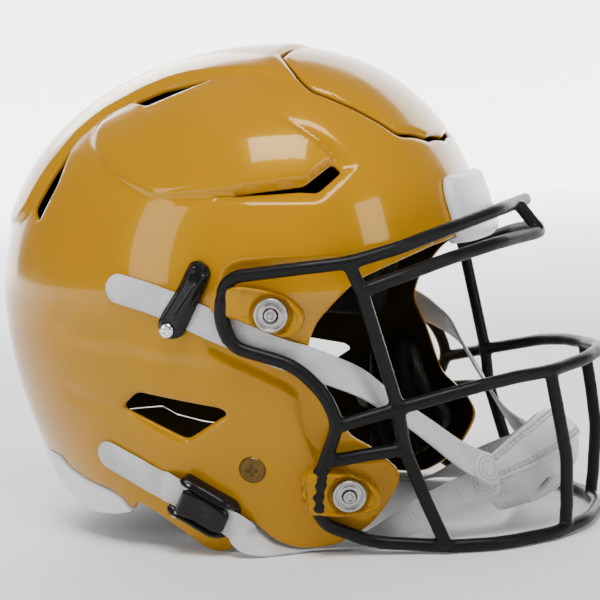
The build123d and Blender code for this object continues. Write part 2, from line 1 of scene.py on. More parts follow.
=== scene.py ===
"""Looks of the football helmet: glossy shell, coated wire mask, webbing, fittings and liner.

The shape helpers work in millimetres in the row frame (the face looks along -Y, +X is the
wearer's left, +Z is up) and scale to metres when a mesh is made.
"""

import math

import bmesh
import bpy
import numpy as np
from mathutils import Matrix, Vector
from mathutils.geometry import delaunay_2d_cdt


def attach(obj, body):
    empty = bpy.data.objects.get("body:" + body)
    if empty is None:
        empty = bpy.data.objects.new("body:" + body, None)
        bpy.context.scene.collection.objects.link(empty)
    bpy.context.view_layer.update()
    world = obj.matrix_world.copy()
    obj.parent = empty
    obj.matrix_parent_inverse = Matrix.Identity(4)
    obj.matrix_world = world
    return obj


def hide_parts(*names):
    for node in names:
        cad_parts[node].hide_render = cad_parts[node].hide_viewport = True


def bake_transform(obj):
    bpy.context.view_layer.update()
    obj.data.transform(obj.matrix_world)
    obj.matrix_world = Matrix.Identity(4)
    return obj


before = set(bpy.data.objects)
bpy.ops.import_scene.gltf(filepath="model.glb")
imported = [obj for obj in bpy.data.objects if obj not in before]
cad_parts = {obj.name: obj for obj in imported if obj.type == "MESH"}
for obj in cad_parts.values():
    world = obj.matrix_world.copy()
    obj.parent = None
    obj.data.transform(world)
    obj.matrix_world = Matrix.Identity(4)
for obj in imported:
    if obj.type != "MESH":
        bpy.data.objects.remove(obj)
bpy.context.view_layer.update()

MM = 0.001
SIDES = (("right", 1), ("left", -1))

# ---------------------------------------------------------------- dome formula
HALF_WIDTH = 118.0
BACK_REACH = 168.6
FRONT_REACH = 118.0
JAW_EXTRA = 37.0
CENTRE_Y = 7.0
EQUATOR = 132.0
CROWN_RISE = 137.5
CROWN_POWER = 2.12
SECTION_POWER = 2.2
JAW_TAPER_DEPTH = 260.0
NAPE_TAPER_DEPTH = 210.0
NAPE_POWER = 1.8
JAW_BLEND_ABOVE, JAW_BLEND_HEIGHT = 10.0, 95.0
FURTHEST = 400.0
CAST_POINT = np.array([0.0, 15.0, 120.0])
SHELL_THICKNESS = 3.4


def ease(t):
    t = np.clip(t, 0, 1)
    return t * t * (3 - 2 * t)


def dome_value(p):
    """Below zero inside the dome, above zero outside; p is an (n, 3) array."""
    x, y, z = np.abs(p[:, 0]), p[:, 1] - CENTRE_Y, p[:, 2] - EQUATOR
    crown = np.clip(1 - np.clip(z / CROWN_RISE, 0, 1) ** CROWN_POWER, 1e-9, None) ** (1 / CROWN_POWER)
    down = np.clip(-z, 0, None)
    wide = np.where(z > 0, crown, np.sqrt(np.clip(1 - (down / JAW_TAPER_DEPTH) ** 2, 1e-9, None)))
    nape = np.clip(1 - np.clip(down / NAPE_TAPER_DEPTH, 0, 1) ** NAPE_POWER, 1e-9, None) ** (1 / NAPE_POWER)
    long = np.where(z > 0, crown, nape)
    front = FRONT_REACH + JAW_EXTRA * ease((EQUATOR + JAW_BLEND_ABOVE - p[:, 2]) / JAW_BLEND_HEIGHT)
    reach = np.where(y < 0, front, BACK_REACH)
    return (x / (HALF_WIDTH * wide)) ** SECTION_POWER + (np.abs(y) / (reach * long)) ** SECTION_POWER - 1


def bisect(within, inner, outer, rounds=40):
    """Last place between inner and outer, numbers or arrays, where within still holds."""
    for _ in range(rounds):
        middle = (inner + outer) / 2
        held = within(middle)
        inner, outer = np.where(held, middle, inner), np.where(held, outer, middle)
    return inner


def cast(directions):
    """Dome points in the given unit directions from the cast point."""
    start = np.zeros(len(directions))
    reach = bisect(lambda r: dome_value(CAST_POINT + directions * r[:, None]) < 0, start, start + FURTHEST, 36)
    return CAST_POINT + directions * reach[:, None]


def normals_at(p, step=0.4):
    """Outward unit normals of the dome near the given points."""
    gradient = np.empty_like(p)
    for axis in range(3):
        shift = np.zeros(3)
        shift[axis] = step
        gradient[:, axis] = dome_value(p + shift) - dome_value(p - shift)
    return gradient / np.linalg.norm(gradient, axis=1)[:, None]


def half_width(y, z):
    """Half-width of the dome at one place of the side view."""
    return float(bisect(lambda x: dome_value(np.array([[float(x), y, z]]))[0] < 0, 0.0, 200.0))


def on_side(y, z, out=0.0):
    """Point of the right side, moved out along its normal."""
    p = np.array([[-half_width(y, z), y, z]])
    return (p + normals_at(p) * out)[0]


def side_frame(y, z, heading=(1.0, 0.0)):
    """Origin and axes on the right side: z outwards, x along a heading of the side view."""
    origin = on_side(y, z)
    normal = normals_at(origin[None, :])[0]
    along = np.array([0.0, heading[0], heading[1]])
    along -= normal * along.dot(normal)
    along /= np.linalg.norm(along)
    return origin, along, np.cross(normal, along), normal


# ---------------------------------------------------------------- mesh helpers
def mesh_object(name, points, faces):
    """Smooth-shaded mesh object from millimetre points."""
    mesh = bpy.data.meshes.new(name)
    mesh.from_pydata([tuple(float(c) * MM for c in p) for p in points], [], [tuple(map(int, f)) for f in faces])
    mesh.update()
    mesh.polygons.foreach_set("use_smooth", [True] * len(mesh.polygons))
    piece = bpy.data.objects.new(name, mesh)
    bpy.context.scene.collection.objects.link(piece)
    return piece


def modify(piece, kind, **settings):
    modifier = piece.modifiers.new(kind.lower(), kind)
    for key, value in settings.items():
        setattr(modifier, key, value)


def bake(piece):
    """Apply a piece's modifiers to its mesh."""
    bpy.context.view_layer.update()
    graph = bpy.context.evaluated_depsgraph_get()
    mesh = bpy.data.meshes.new_from_object(piece.evaluated_get(graph))
    piece.modifiers.clear()
    old = piece.data
    piece.data = mesh
    bpy.data.meshes.remove(old)


def finish_piece(piece, body, material, *nodes, slot=None):
    """Give a piece its material and body, and hide the CAD nodes it stands for."""
    piece.data.materials.clear()
    piece.data.materials.append(material)
    if body:
        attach(piece, body)
    if nodes:
        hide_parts(*nodes)
    return piece


# ---------------------------------------------------------------- materials
class Shader:
    """A small builder for one procedural material."""

    def __init__(self, name):
        self.material = bpy.data.materials.new(name)
        self.material.use_nodes = True
        self.tree = self.material.node_tree
        self.shader = self.tree.nodes["Principled BSDF"]
        self.where = self.tree.nodes.new("ShaderNodeTexCoord").outputs["Object"]

    def set(self, **values):
        names = {
            "rough": "Roughness", "metal": "Metallic", "coat": "Coat Weight",
            "coat_rough": "Coat Roughness", "sheen": "Sheen Weight", "sheen_rough": "Sheen Roughness",
            "specular": "Specular IOR Level", "subsurface": "Subsurface Weight", "aniso": "Anisotropic",
            "tint": "Specular Tint", "emission": "Emission Color", "glow": "Emission Strength",
        }
        for key, value in values.items():
            socket = self.shader.inputs[names[key]]
            socket.default_value = (*value, 1.0) if isinstance(value, tuple) else value
        return self

    def node(self, kind, inputs=None, **settings):
        node = self.tree.nodes.new(kind)
        for key, value in settings.items():
            setattr(node, key, value)
        for key, value in (inputs or {}).items():
            if hasattr(value, "is_linked"):
                self.tree.links.new(value, node.inputs[key])
            else:
                node.inputs[key].default_value = value
        return node

    def noise(self, scale, detail=3.0):
        inputs = {"Vector": self.where, "Scale": scale, "Detail": detail, "Roughness": 0.55}
        return self.node("ShaderNodeTexNoise", inputs).outputs["Fac"]

    def cells(self, scale):
        return self.node("ShaderNodeTexVoronoi", {"Vector": self.where, "Scale": scale}).outputs["Distance"]

    def twill(self, scale):
        inputs = {"Vector": self.where, "Scale": scale, "Distortion": 0.4}
        return self.node("ShaderNodeTexWave", inputs, bands_direction="DIAGONAL").outputs["Fac"]

    def range(self, value, low, high, to_low, to_high):
        inputs = {"Value": value, "From Min": low, "From Max": high, "To Min": to_low, "To Max": to_high}
        return self.node("ShaderNodeMapRange", inputs).outputs["Result"]

    def mix(self, factor, a, b):
        """Colour between two fixed colours."""
        node = self.node("ShaderNodeMix", {"Factor": factor}, data_type="RGBA")
        for key, value in (("A", a), ("B", b)):
            socket = [s for s in node.inputs if s.name == key and s.type == "RGBA"][0]
            socket.default_value = (*value, 1.0)
        return [s for s in node.outputs if s.type == "RGBA"][0]

    def link(self, value, socket):
        self.tree.links.new(value, self.shader.inputs[socket])
        return self

    def bump(self, height, strength, distance):
        bump = self.node("ShaderNodeBump", {"Height": height, "Strength": strength, "Distance": distance})
        self.tree.links.new(bump.outputs["Normal"], self.shader.inputs["Normal"])
        return self


def finish(name, colour, rough, bump=None, drift=None, **settings):
    """Material whose colour, roughness and bump each follow a texture of their own.

    colour is (noise scale, detail, first, second), rough is (noise scale, detail, least, most),
    bump is (texture, its values, strength, depth), drift stretches the colour's noise.
    """
    s = Shader(name).set(**settings)
    factor = s.noise(*colour[:2])
    if drift:
        factor = s.range(factor, *drift, 0.0, 1.0)
    s.link(s.mix(factor, *colour[2:]), "Base Color")
    s.link(s.range(s.noise(*rough[:2]), 0.3, 0.7, *rough[2:]), "Roughness")
    if bump:
        texture, values, strength, depth = bump
        s.bump(getattr(s, texture)(*values), strength, depth)
    return s.material


GOLDEN = (1.0, 0.62, 0.04)
# painted shade: dark olive for the faces inside the helmet, which are really the same golden or white material as
# outside and only lie in shade
INSIDE_PAINTED_SHADE = finish("shell_inside_painted_shade", (25, 3, (0.016, 0.010, 0.0), (0.03, 0.019, 0.0)), (120, 3, 0.6, 0.75), specular=0.1)
# golden yellow lacquer: slow colour drift, faint orange peel and a clear coat
PAINT = finish(
    "shell_paint", (9, 2, (0.40, 0.185, 0.0), (0.46, 0.21, 0.0)), (60, 2, 0.16, 0.24),
    ("noise", (420, 2), 0.02, 0.0004), (0.35, 0.65), coat=0.42, coat_rough=0.03, specular=0.5, tint=GOLDEN,
)
CLIP_GOLD = finish(
    "clip_gold", (55, 3, (0.36, 0.165, 0.0), (0.42, 0.19, 0.0)), (260, 3, 0.24, 0.36),
    ("noise", (900,), 0.08, 0.0003), coat=0.3, coat_rough=0.08, specular=0.5, tint=GOLDEN,
)
# thick satin dip coat with a slight unevenness
MASK_COAT = finish(
    "mask_coat", (40, 3, (0.004, 0.004, 0.0045), (0.008, 0.008, 0.009)), (160, 3, 0.34, 0.46),
    ("noise", (330, 4), 0.10, 0.0006), coat=0.04, coat_rough=0.3, specular=0.16,
)
WHITE_RUBBER = finish(
    "bumper_white", (30, 3, (0.74, 0.75, 0.77), (0.83, 0.84, 0.85)), (90, 3, 0.30, 0.42),
    ("noise", (800,), 0.06, 0.0003), coat=0.15, coat_rough=0.25, specular=0.45, subsurface=0.05,
)
STEEL = finish(
    "washer_steel", (240, 3, (0.40, 0.39, 0.38), (0.50, 0.49, 0.48)), (260, 3, 0.26, 0.36),
    ("noise", (500,), 0.03, 0.0001), metal=1.0, aniso=0.4,
)
CHROME = finish(
    "screw_chrome", (300, 3, (0.66, 0.66, 0.68), (0.74, 0.74, 0.75)), (200, 3, 0.14, 0.22), metal=1.0
)
BRONZE = finish(
    "screw_bronze", (200, 3, (0.09, 0.05, 0.005), (0.16, 0.09, 0.01)), (500, 3, 0.30, 0.45),
    ("noise", (900,), 0.12, 0.0003), metal=0.75, coat=0.2, coat_rough=0.2,
)
BLACK = finish(
    "fitting_black", (50, 3, (0.004, 0.004, 0.004), (0.009, 0.009, 0.010)), (220, 3, 0.18, 0.3),
    ("noise", (700,), 0.06, 0.0003), coat=0.12, coat_rough=0.12, specular=0.2,
)
# woven satin webbing with slight grey soiling
WEBBING = finish(
    "strap_webbing", (45, 4, (0.66, 0.66, 0.67), (0.50, 0.50, 0.515)), (150, 3, 0.38, 0.55),
    ("twill", (330,), 0.25, 0.0003), (0.35, 0.7), sheen=0.35, sheen_rough=0.4, specular=0.35,
)
CUP_COVER = finish(
    "cup_cover", (35, 4, (0.66, 0.66, 0.67), (0.52, 0.52, 0.54)), (120, 3, 0.34, 0.5),
    ("cells", (900,), 0.12, 0.0003), (0.3, 0.75),
    coat=0.12, coat_rough=0.3, sheen=0.15, sheen_rough=0.5, specular=0.4,
)
THREAD = finish(
    "stitch_thread", (500, 3, (0.36, 0.36, 0.37), (0.52, 0.52, 0.53)), (500, 3, 0.55, 0.7), sheen=0.3, specular=0.3
)
LINER = finish(
    "liner_cover", (60, 4, (0.005, 0.005, 0.003), (0.014, 0.013, 0.008)), (180, 3, 0.55, 0.75),
    ("cells", (700,), 0.3, 0.0005), sheen=0.01, sheen_rough=0.6, specular=0.12,
)
LOOKS_IN = -0.35


def paint_inside_shade(piece):
    """Give the faces that look into the helmet a near-black painted shade; they are really the same material as the
    outer faces.
    """
    piece.data.materials.append(INSIDE_PAINTED_SHADE)
    count = len(piece.data.polygons)
    centres, normals = np.empty(count * 3), np.empty(count * 3)
    piece.data.polygons.foreach_get("center", centres)
    piece.data.polygons.foreach_get("normal", normals)
    outward = normals_at(centres.reshape(-1, 3) * 1000)
    looks_in = (outward * normals.reshape(-1, 3)).sum(axis=1) < LOOKS_IN
    piece.data.polygons.foreach_set("material_index", looks_in.astype(np.int32))


# ---------------------------------------------------------------- plane outlines
def round_corners(points, radius, closed=True, steps=5):
    """Polyline with its corners turned into short arcs."""
    points = [np.array(p, float) for p in points]
    count = len(points)
    result = []
    for i, corner in enumerate(points):
        if not closed and i in (0, count - 1):
            result.append(corner)
            continue
        before, after = points[i - 1] - corner, points[(i + 1) % count] - corner
        reach = min(radius, 0.42 * np.linalg.norm(before), 0.42 * np.linalg.norm(after))
        start = corner + before / np.linalg.norm(before) * reach
        end = corner + after / np.linalg.norm(after) * reach
        for step in range(steps + 1):
            t = step / steps
            result.append(start * (1 - t) ** 2 + corner * 2 * t * (1 - t) + end * t * t)
    return np.array(result)


def resample(points, spacing, closed=True):
    """Even steps along a polyline of any dimension."""
    points = np.array(points, float)
    if closed:
        points = np.vstack([points, points[:1]])
    steps = np.linalg.norm(np.diff(points, axis=0), axis=1)
    length = np.concatenate([[0], np.cumsum(steps)])
    count = max(int(round(length[-1] / spacing)), 3)
    places = np.linspace(0, length[-1], count + 1)
    if closed:
        places = places[:-1]
    return np.stack([np.interp(places, length, points[:, i]) for i in range(points.shape[1])], axis=1)


def inside(points, polygon):
    """Which of the points lie inside a polygon of the plane."""
    x, y = points[:, 0][:, None], points[:, 1][:, None]
    x0, y0 = polygon[:, 0][None, :], polygon[:, 1][None, :]
    x1, y1 = np.roll(polygon[:, 0], -1)[None, :], np.roll(polygon[:, 1], -1)[None, :]
    crosses = (y0 > y) != (y1 > y)
    with np.errstate(divide="ignore", invalid="ignore"):
        at = (x1 - x0) * (y - y0) / (y1 - y0) + x0
    return (crosses & (x < at)).sum(axis=1) % 2 == 1


def nearest(points, places):
    """Distance of each point from the nearest of the places."""
    result = np.empty(len(points))
    for start in range(0, len(points), 4000):
        chunk = points[start : start + 4000]
        square = (chunk**2).sum(1)[:, None] - 2 * chunk @ places.T + (places**2).sum(1)[None, :]
        result[start : start + 4000] = np.sqrt(np.clip(square.min(axis=1), 0, None))
    return result


# ---------------------------------------------------------------- map of the right half
def to_map(p):
    """Dome points to a flat map around the wearer's right, angles in radians."""
    d = np.atleast_2d(p) - CAST_POINT
    d = d / np.linalg.norm(d, axis=1)[:, None]
    angle = np.arccos(np.clip(-d[:, 0], -1, 1))
    spread = np.where(angle > 1e-6, angle / np.clip(np.sin(angle), 1e-9, None), 1.0)
    return np.stack([d[:, 1] * spread, d[:, 2] * spread], axis=1)


def from_map(ab):
    angle = np.hypot(ab[:, 0], ab[:, 1])
    spread = np.where(angle > 1e-6, np.sin(angle) / np.clip(angle, 1e-9, None), 1.0)
    return cast(np.stack([-np.cos(angle), ab[:, 0] * spread, ab[:, 1] * spread], axis=1))


def side_points(places):
    """Dome points of the right side at (y, z) places."""
    return np.array([[-half_width(y, z), y, z] for y, z in places])


def middle_edge(route, far, near_y, wide):
    """Edge points from x=0 to x=-wide, where the side view's route is z over y."""
    ys, zs = np.array(route, float).T
    points = []
    for x in np.arange(0, wide, 2.0):
        y = float(bisect(lambda y: dome_value(np.array([[x, y, np.interp(y, ys, zs)]]))[0] <= 0, near_y, far))
        points.append([-x, y, float(np.interp(y, ys, zs))])
    return np.array(points)


BROW_EDGE = [(-130, 165), (-103, 163), (-95, 159.6), (-83, 154.3), (-65, 146.5), (-52, 133.5), (-45, 125.5)]
JAW_EDGE = [(-39.5, 112), (-49, 92), (-54.5, 75), (-59, 65), (-72, 56), (-83, 42.5), (-75, 27), (-63, 13)]
LOWER_EDGE = [(-47, 4), (-36, 2.6), (-25, 2.6), (-13.5, 7.5), (-3, 18.5), (2, 18.5), (6, 9), (12, 0), (24, 0)]
LOWER_EDGE += [(33, 6.4), (53, 20)]
NAPE_EDGE = [(66, 26), (70, 20), (75, 26.7), (82.5, 30.8), (99, 34.3), (114, 40), (122, 46), (200, 50)]
SIDE_VENT = [(0, 194), (-36, 195), (-45.5, 194), (-56, 204), (-51, 209), (-38, 198), (-18, 196.3)]
CROWN_VENT = [(72, 243), (61, 241), (26, 254), (54.7, 249.5)]
BACK_VENT = [(108, 219), (118.5, 205), (131, 185), (124, 179), (112, 200)]
EAR_VENT = [(58, 89), (8.5, 81), (5, 78), (30, 63), (69, 80)]
UPPER_CLIP = (-23.5, 132.0)
LOWER_CLIP = (-55.5, 36.0)
JAW_SCREW = (-6.5, 47.8)
PANEL_OUTLINE = [(34, -6), (46, -15), (56, -24), (61, -33), (59, -48), (55, -62), (48, -77), (25, -87.5)]
PANEL_GAP = 1.4


def top_point(x, y):
    """Dome point above a place of the plan."""
    return [x, y, float(bisect(lambda z: dome_value(np.array([[x, y, float(z)]]))[0] < 0, 150.0, 275.0))]


EDGE_STEP = 1.7
edge_route = round_corners(BROW_EDGE[1:] + JAW_EDGE + LOWER_EDGE + NAPE_EDGE[:-1], 7.0, closed=False)
edge_route = resample(edge_route, EDGE_STEP, closed=False)
brow_middle = middle_edge(BROW_EDGE, -130.0, -40.0, 76.0)
nape_middle = middle_edge([(99, 34.3), (114, 40), (122, 46), (200, 50)], 200.0, 99.0, 84.0)
edge_side = np.array([p for p in edge_route if brow_middle[-1][1] + 1.5 < p[0] < nape_middle[-1][1] - 1.5])
panel_plan = round_corners([(-x, y) for x, y in PANEL_OUTLINE], 5.0, closed=False)
panel_plan = np.vstack([[(0.0, -6.0), (-17.0, -6.0)], panel_plan, [(-12.5, -89.0), (0.0, -90.5)]])
panel_cut = resample(panel_plan, EDGE_STEP, closed=False)


def arc(start, end, step=0.016):
    """Map points of the middle plane between two map points, over the top."""
    first, last = math.atan2(start[1], start[0]), math.atan2(end[1], end[0])
    count = max(int(abs(last - first) / step), 2)
    angles = np.linspace(first, last, count + 1)[1:-1]
    return np.stack([np.cos(angles), np.sin(angles)], axis=1) * math.pi / 2


brow_map, side_map, nape_map = to_map(brow_middle), to_map(side_points(edge_side)), to_map(nape_middle[::-1])
cut_map = to_map(np.array([top_point(x, y) for x, y in panel_cut]))
outer_loop = np.vstack([
    brow_map, side_map, nape_map,
    arc(nape_map[-1], cut_map[0]), cut_map, arc(cut_map[-1], brow_map[0]),
])


def vent_loop(places, radius):
    return to_map(side_points(resample(round_corners(places, radius), 1.3)))


def hole_loop(place, radius):
    origin, along, across, _ = side_frame(*place)
    turns = np.linspace(0, 2 * math.pi, 16, endpoint=False)
    ring = [origin + along * math.cos(t) * radius + across * math.sin(t) * radius for t in turns]
    return to_map(np.array(ring))


hole_loops = [vent_loop(v, r) for v, r in ((SIDE_VENT, 2.0), (CROWN_VENT, 2.5), (BACK_VENT, 3.0), (EAR_VENT, 4.0))]
SHELL_BORE_RADIUS = 3.2
hole_loops += [hole_loop(place, SHELL_BORE_RADIUS) for place in (UPPER_CLIP, LOWER_CLIP, JAW_SCREW)]

# ---------------------------------------------------------------- relief of the shell
BAND_EDGE = [
    (-63.3, -28.6, 245.1), (-58.8, -18.3, 251.1), (-55.6, 4.2, 255.5), (-55.0, 26.5, 255.0), (-54.0, 48.4, 253.0),
    (-57.0, 66.0, 247.0), (-60.0, 78.0, 241.0), (-60.3, 88.2, 236.4), (-63.8, 103.9, 224.8), (-66.5, 109.0, 217.5),
    (-67.5, 113.3, 212.5), (-68.5, 119.7, 204.0), (-69.0, 126.7, 194.5), (-70.5, 133.0, 184.0), (-66.0, 142.0, 177.0),
    (-53.0, 154.3, 174.6), (-28.0, 166.0, 173.0), (0.0, 171.0, 172.0),
]
LEDGE = [(45.4, 191.0), (30, 189.5), (12.4, 188.5), (-19.7, 187.5), (-48.3, 186.4), (-64.7, 205.5), (-57.2, 213.5)]
LEDGE += [(-48.5, 221.5), (-36.8, 229.7), (-25.6, 232.9)]
POD_EDGE = [(-51.5, 209.5), (-38, 198.5), (-18, 196.8), (0.9, 194.6), (23.5, 192.8), (42.3, 191.3), (52.5, 194.6)]
POD_EDGE += [(69.2, 202.3), (82.1, 210.7), (90.8, 219.1), (93.7, 225.4), (91.9, 233.2), (81.0, 238.9), (71.0, 242.0)]
RECESS = [(12, 124), (7.9, 139.5), (5.5, 146), (2.5, 155.5), (-4, 159.6), (-28, 160.8), (-59, 160.4), (-100, 168)]
RECESS += [(-100, 140), (-60, 100), (-70, 66), (-82, 52), (-66, 49), (-52, 52), (-41.5, 50), (-36, 60), (-32.5, 75)]
RECESS += [(-31.9, 86.8), (-28.8, 90.5), (-9.4, 100.6), (4.1, 106.3), (16, 112.5)]
SIDE_CREASE = [(105.8, 126.2), (97.1, 118.6), (79.6, 117.1), (63, 117.8), (43.9, 112.6), (25.3, 111.8), (12, 109)]
EAR_CREASE = [(104.5, 86.5), (86.6, 81.5), (67.2, 76.9), (48, 69.6), (29.8, 62.1)]


def relief(p, ab):
    """Height of the moulded relief above the plain dome at its points."""
    height = np.zeros(len(p))
    # central band that stands proud between the crown and back vents
    band_points = np.array(BAND_EDGE)
    band_map = to_map(band_points)
    middle = arc(band_map[-1], (-0.45, 1.5), 0.05) * 1.15
    band_polygon = np.vstack([band_map, middle])
    distance = nearest(p, resample(round_corners(band_points, 8.0, closed=False), 1.0, closed=False))
    front_fade = ease((p[:, 1] + 34) / 34)
    height += np.where(inside(ab, band_polygon), 2.4 * ease(distance / 4.5) * front_fade, 0)
    # hollow ledge below and ahead of the side vent
    ledge = side_points(resample(round_corners(LEDGE, 5.0, closed=False), 1.0, closed=False))
    pod = side_points(resample(round_corners(POD_EDGE, 6.0, closed=False), 1.0, closed=False))
    ledge_polygon = np.vstack([to_map(ledge), to_map(side_points([(-15, 225), (-30, 212)])), to_map(pod)[:60]])
    distance = nearest(p, ledge)
    fade = ease((50 - p[:, 1]) / 40) * ease((238 - p[:, 2]) / 26)
    hollow = ease(distance / 8.5) * np.where(p[:, 2] > 206, ease((34 - distance) / 26), 1.0)
    above_pod = [(60, 238), (30, 243), (0, 240), (-20, 232), (-38, 222)]
    pod_polygon = np.vstack([to_map(pod), to_map(side_points(above_pod))])
    in_pod = inside(ab, pod_polygon)
    in_ledge = inside(ab, ledge_polygon) & ~in_pod
    height -= np.where(in_ledge, 3.4 * hollow * fade, 0)
    # lobe that overhangs the vent and dies out towards the crown
    distance = nearest(p, pod)
    low_part = ease((246 - p[:, 2]) / 30) * ease((p[:, 1] + 58) / 30)
    height += np.where(in_pod, 2.3 * ease((distance + 0.6) / 5.0) * low_part, 0)
    # hollow that takes the mask loop and the upper clip
    recess_places = resample(round_corners(RECESS, 7.0), 1.0)
    recess_rim = side_points([q for q in recess_places if half_width(*q) > 1.0])
    recess_polygon = to_map(side_points(recess_places))
    distance = nearest(p, recess_rim)
    height -= np.where(inside(ab, recess_polygon), 2.3 * ease(distance / 3.2), 0)
    # soft creases behind the straps
    for crease, depth, width in ((SIDE_CREASE, 0.7, 6.0), (EAR_CREASE, 0.8, 4.0)):
        line = side_points(resample(round_corners(crease, 10.0, closed=False), 1.0, closed=False))
        height -= depth * np.exp(-((nearest(p, line) / width) ** 2))
    # rolled edge along the panel cut and the vents
    for loop, drop, width in ((cut_map, 0.9, 3.0), (hole_loops[0], 0.5, 2.0), (hole_loops[3], 0.8, 3.0)):
        distance = nearest(p, from_map(loop))
        height -= drop * (1 - ease(distance / width))
    return height


# ---------------------------------------------------------------- shell sheets
def triangulate(outline, holes, spacing):
    """Even triangles inside a map outline, with the loops' own points kept on the edges."""
    loops = [outline, *holes]
    edge_points = np.vstack(loops)
    low, high = outline.min(axis=0), outline.max(axis=0)
    rows = []
    row_height = spacing * math.sqrt(3) / 2
    for k, b in enumerate(np.arange(low[1], high[1], row_height)):
        a = np.arange(low[0] + (k % 2) * spacing / 2, high[0], spacing)
        rows.append(np.stack([a, np.full(len(a), b)], axis=1))
    grid = np.vstack(rows)
    keep = inside(grid, outline)
    for hole in holes:
        keep &= ~inside(grid, hole)
    grid = grid[keep]
    grid = grid[nearest(grid, edge_points) > spacing * 0.55]
    points = np.vstack([edge_points, grid])
    edges, start = [], 0
    for loop in loops:
        edges += [(start + i, start + (i + 1) % len(loop)) for i in range(len(loop))]
        start += len(loop)
    out, _, faces, origin, _, _ = delaunay_2d_cdt([Vector(p) for p in points], edges, [], 0, 1e-7)
    out = np.array([tuple(v) for v in out])
    faces = np.array([f for f in faces if len(f) == 3])
    centres = out[faces].mean(axis=1)
    good = inside(centres, outline)
    for hole in holes:
        good &= ~inside(centres, hole)
    place = {old: new for new, olds in enumerate(origin) for old in olds}
    rings, start = [], 0
    for loop in loops:
        rings.append([place[start + i] for i in range(len(loop))])
        start += len(loop)
    return out, faces[good], rings


RIM_ROWS = 5
RIM_BULGE = 0.9


def shell_half(name, outline, holes, spacing, thickness, height_of):
    """Right half of a moulded sheet with rounded rims; its middle-plane edge stays open."""
    ab, faces, rings = triangulate(outline, holes, spacing)
    outer = from_map(ab)
    normal = normals_at(outer)
    height = height_of(outer, ab)
    middle = np.abs(np.hypot(ab[:, 0], ab[:, 1]) - math.pi / 2) < 1e-5
    outer[middle, 0] = 0
    normal[middle, 0] = 0
    normal /= np.linalg.norm(normal, axis=1)[:, None]
    sideways = {}
    for index, ring in enumerate(rings):
        loop = ab[ring]
        tangent = np.roll(loop, -1, axis=0) - np.roll(loop, 1, axis=0)
        flat = np.stack([tangent[:, 1], -tangent[:, 0]], axis=1)
        flat /= np.linalg.norm(flat, axis=1)[:, None]
        turn = np.sum(loop[:, 0] * np.roll(loop[:, 1], -1) - np.roll(loop[:, 0], -1) * loop[:, 1])
        flat *= (1 if turn > 0 else -1) * (1 if index == 0 else -1)
        moved = from_map(loop + flat * 1e-3) - from_map(loop)
        for vertex, way in zip(ring, moved):
            if middle[vertex]:
                way = np.array([0.0, way[1], way[2]])
            way = way - normal[vertex] * way.dot(normal[vertex])
            sideways[vertex] = way / max(np.linalg.norm(way), 1e-9)
    on_rim = set()
    for ring in rings:
        for a, b in zip(ring, ring[1:] + ring[:1]):
            if not (middle[a] and middle[b]):
                on_rim.update((a, b))
    top = outer + normal * height[:, None]
    bottom = outer + normal * (np.minimum(height, 0) * 0.8 - thickness)[:, None]
    for vertex in on_rim:
        top[vertex] -= sideways[vertex] * RIM_BULGE
        bottom[vertex] -= sideways[vertex] * RIM_BULGE
    count = len(top)
    points = [*top, *bottom]
    polygons = [tuple(f) for f in faces] + [tuple(reversed([v + count for v in f])) for f in faces]
    rows = {v: [v] for v in on_rim}
    for step in range(1, RIM_ROWS + 1):
        turn = math.pi * step / (RIM_ROWS + 1)
        share = (1 - math.cos(turn)) / 2
        for vertex in on_rim:
            here = top[vertex] * (1 - share) + bottom[vertex] * share
            rows[vertex].append(len(points))
            points.append(here + sideways[vertex] * RIM_BULGE * math.sin(turn))
    for vertex in on_rim:
        rows[vertex].append(vertex + count)
    for ring in rings:
        for a, b in zip(ring, ring[1:] + ring[:1]):
            if middle[a] and middle[b]:
                continue
            for i in range(RIM_ROWS + 1):
                polygons.append((rows[a][i], rows[b][i], rows[b][i + 1], rows[a][i + 1]))
    return mesh_object(name, points, polygons)


def mirror_half(piece):
    """Complete a half piece with its mirror image, welded in the middle plane."""
    mesh = bmesh.new()
    mesh.from_mesh(piece.data)
    for vertex in mesh.verts:
        if abs(vertex.co.x) < 2e-5:
            vertex.co.x = 0
    twin = bmesh.ops.duplicate(mesh, geom=mesh.verts[:] + mesh.edges[:] + mesh.faces[:])
    for item in twin["geom"]:
        if isinstance(item, bmesh.types.BMVert):
            item.co.x = -item.co.x
    middle = [v for v in mesh.verts if v.co.x == 0]
    bmesh.ops.remove_doubles(mesh, verts=middle, dist=1e-5)
    bmesh.ops.recalc_face_normals(mesh, faces=mesh.faces[:])
    mesh.to_mesh(piece.data)
    mesh.free()
    return piece


SHEET_SPACING = 0.0165
shell = mirror_half(shell_half("shell_moulding", outer_loop, hole_loops, SHEET_SPACING, SHELL_THICKNESS, relief))
finish_piece(shell, "root", PAINT, "shell", slot="shell_paint")


def inset_plan(plan, distance):
    """Half outline of the panel moved inwards; its ends stay in the middle plane."""
    whole = np.vstack([plan, [(-x, y) for x, y in plan[::-1][1:-1]]])
    tangent = np.roll(whole, -1, axis=0) - np.roll(whole, 1, axis=0)
    way = np.stack([-tangent[:, 1], tangent[:, 0]], axis=1)
    way /= np.linalg.norm(way, axis=1)[:, None]
    area = np.sum(whole[:, 0] * np.roll(whole[:, 1], -1) - np.roll(whole[:, 0], -1) * whole[:, 1])
    moved = whole + way * distance * (1 if area > 0 else -1)
    half = moved[: len(plan)]
    half[0][0] = half[-1][0] = 0.0
    return half


def panel_relief(p, ab):
    """The panel is slightly crowned and follows the band behind it."""
    rim = from_map(panel_map)
    return 0.35 - 0.9 * (1 - ease(nearest(p, rim) / 3.0))


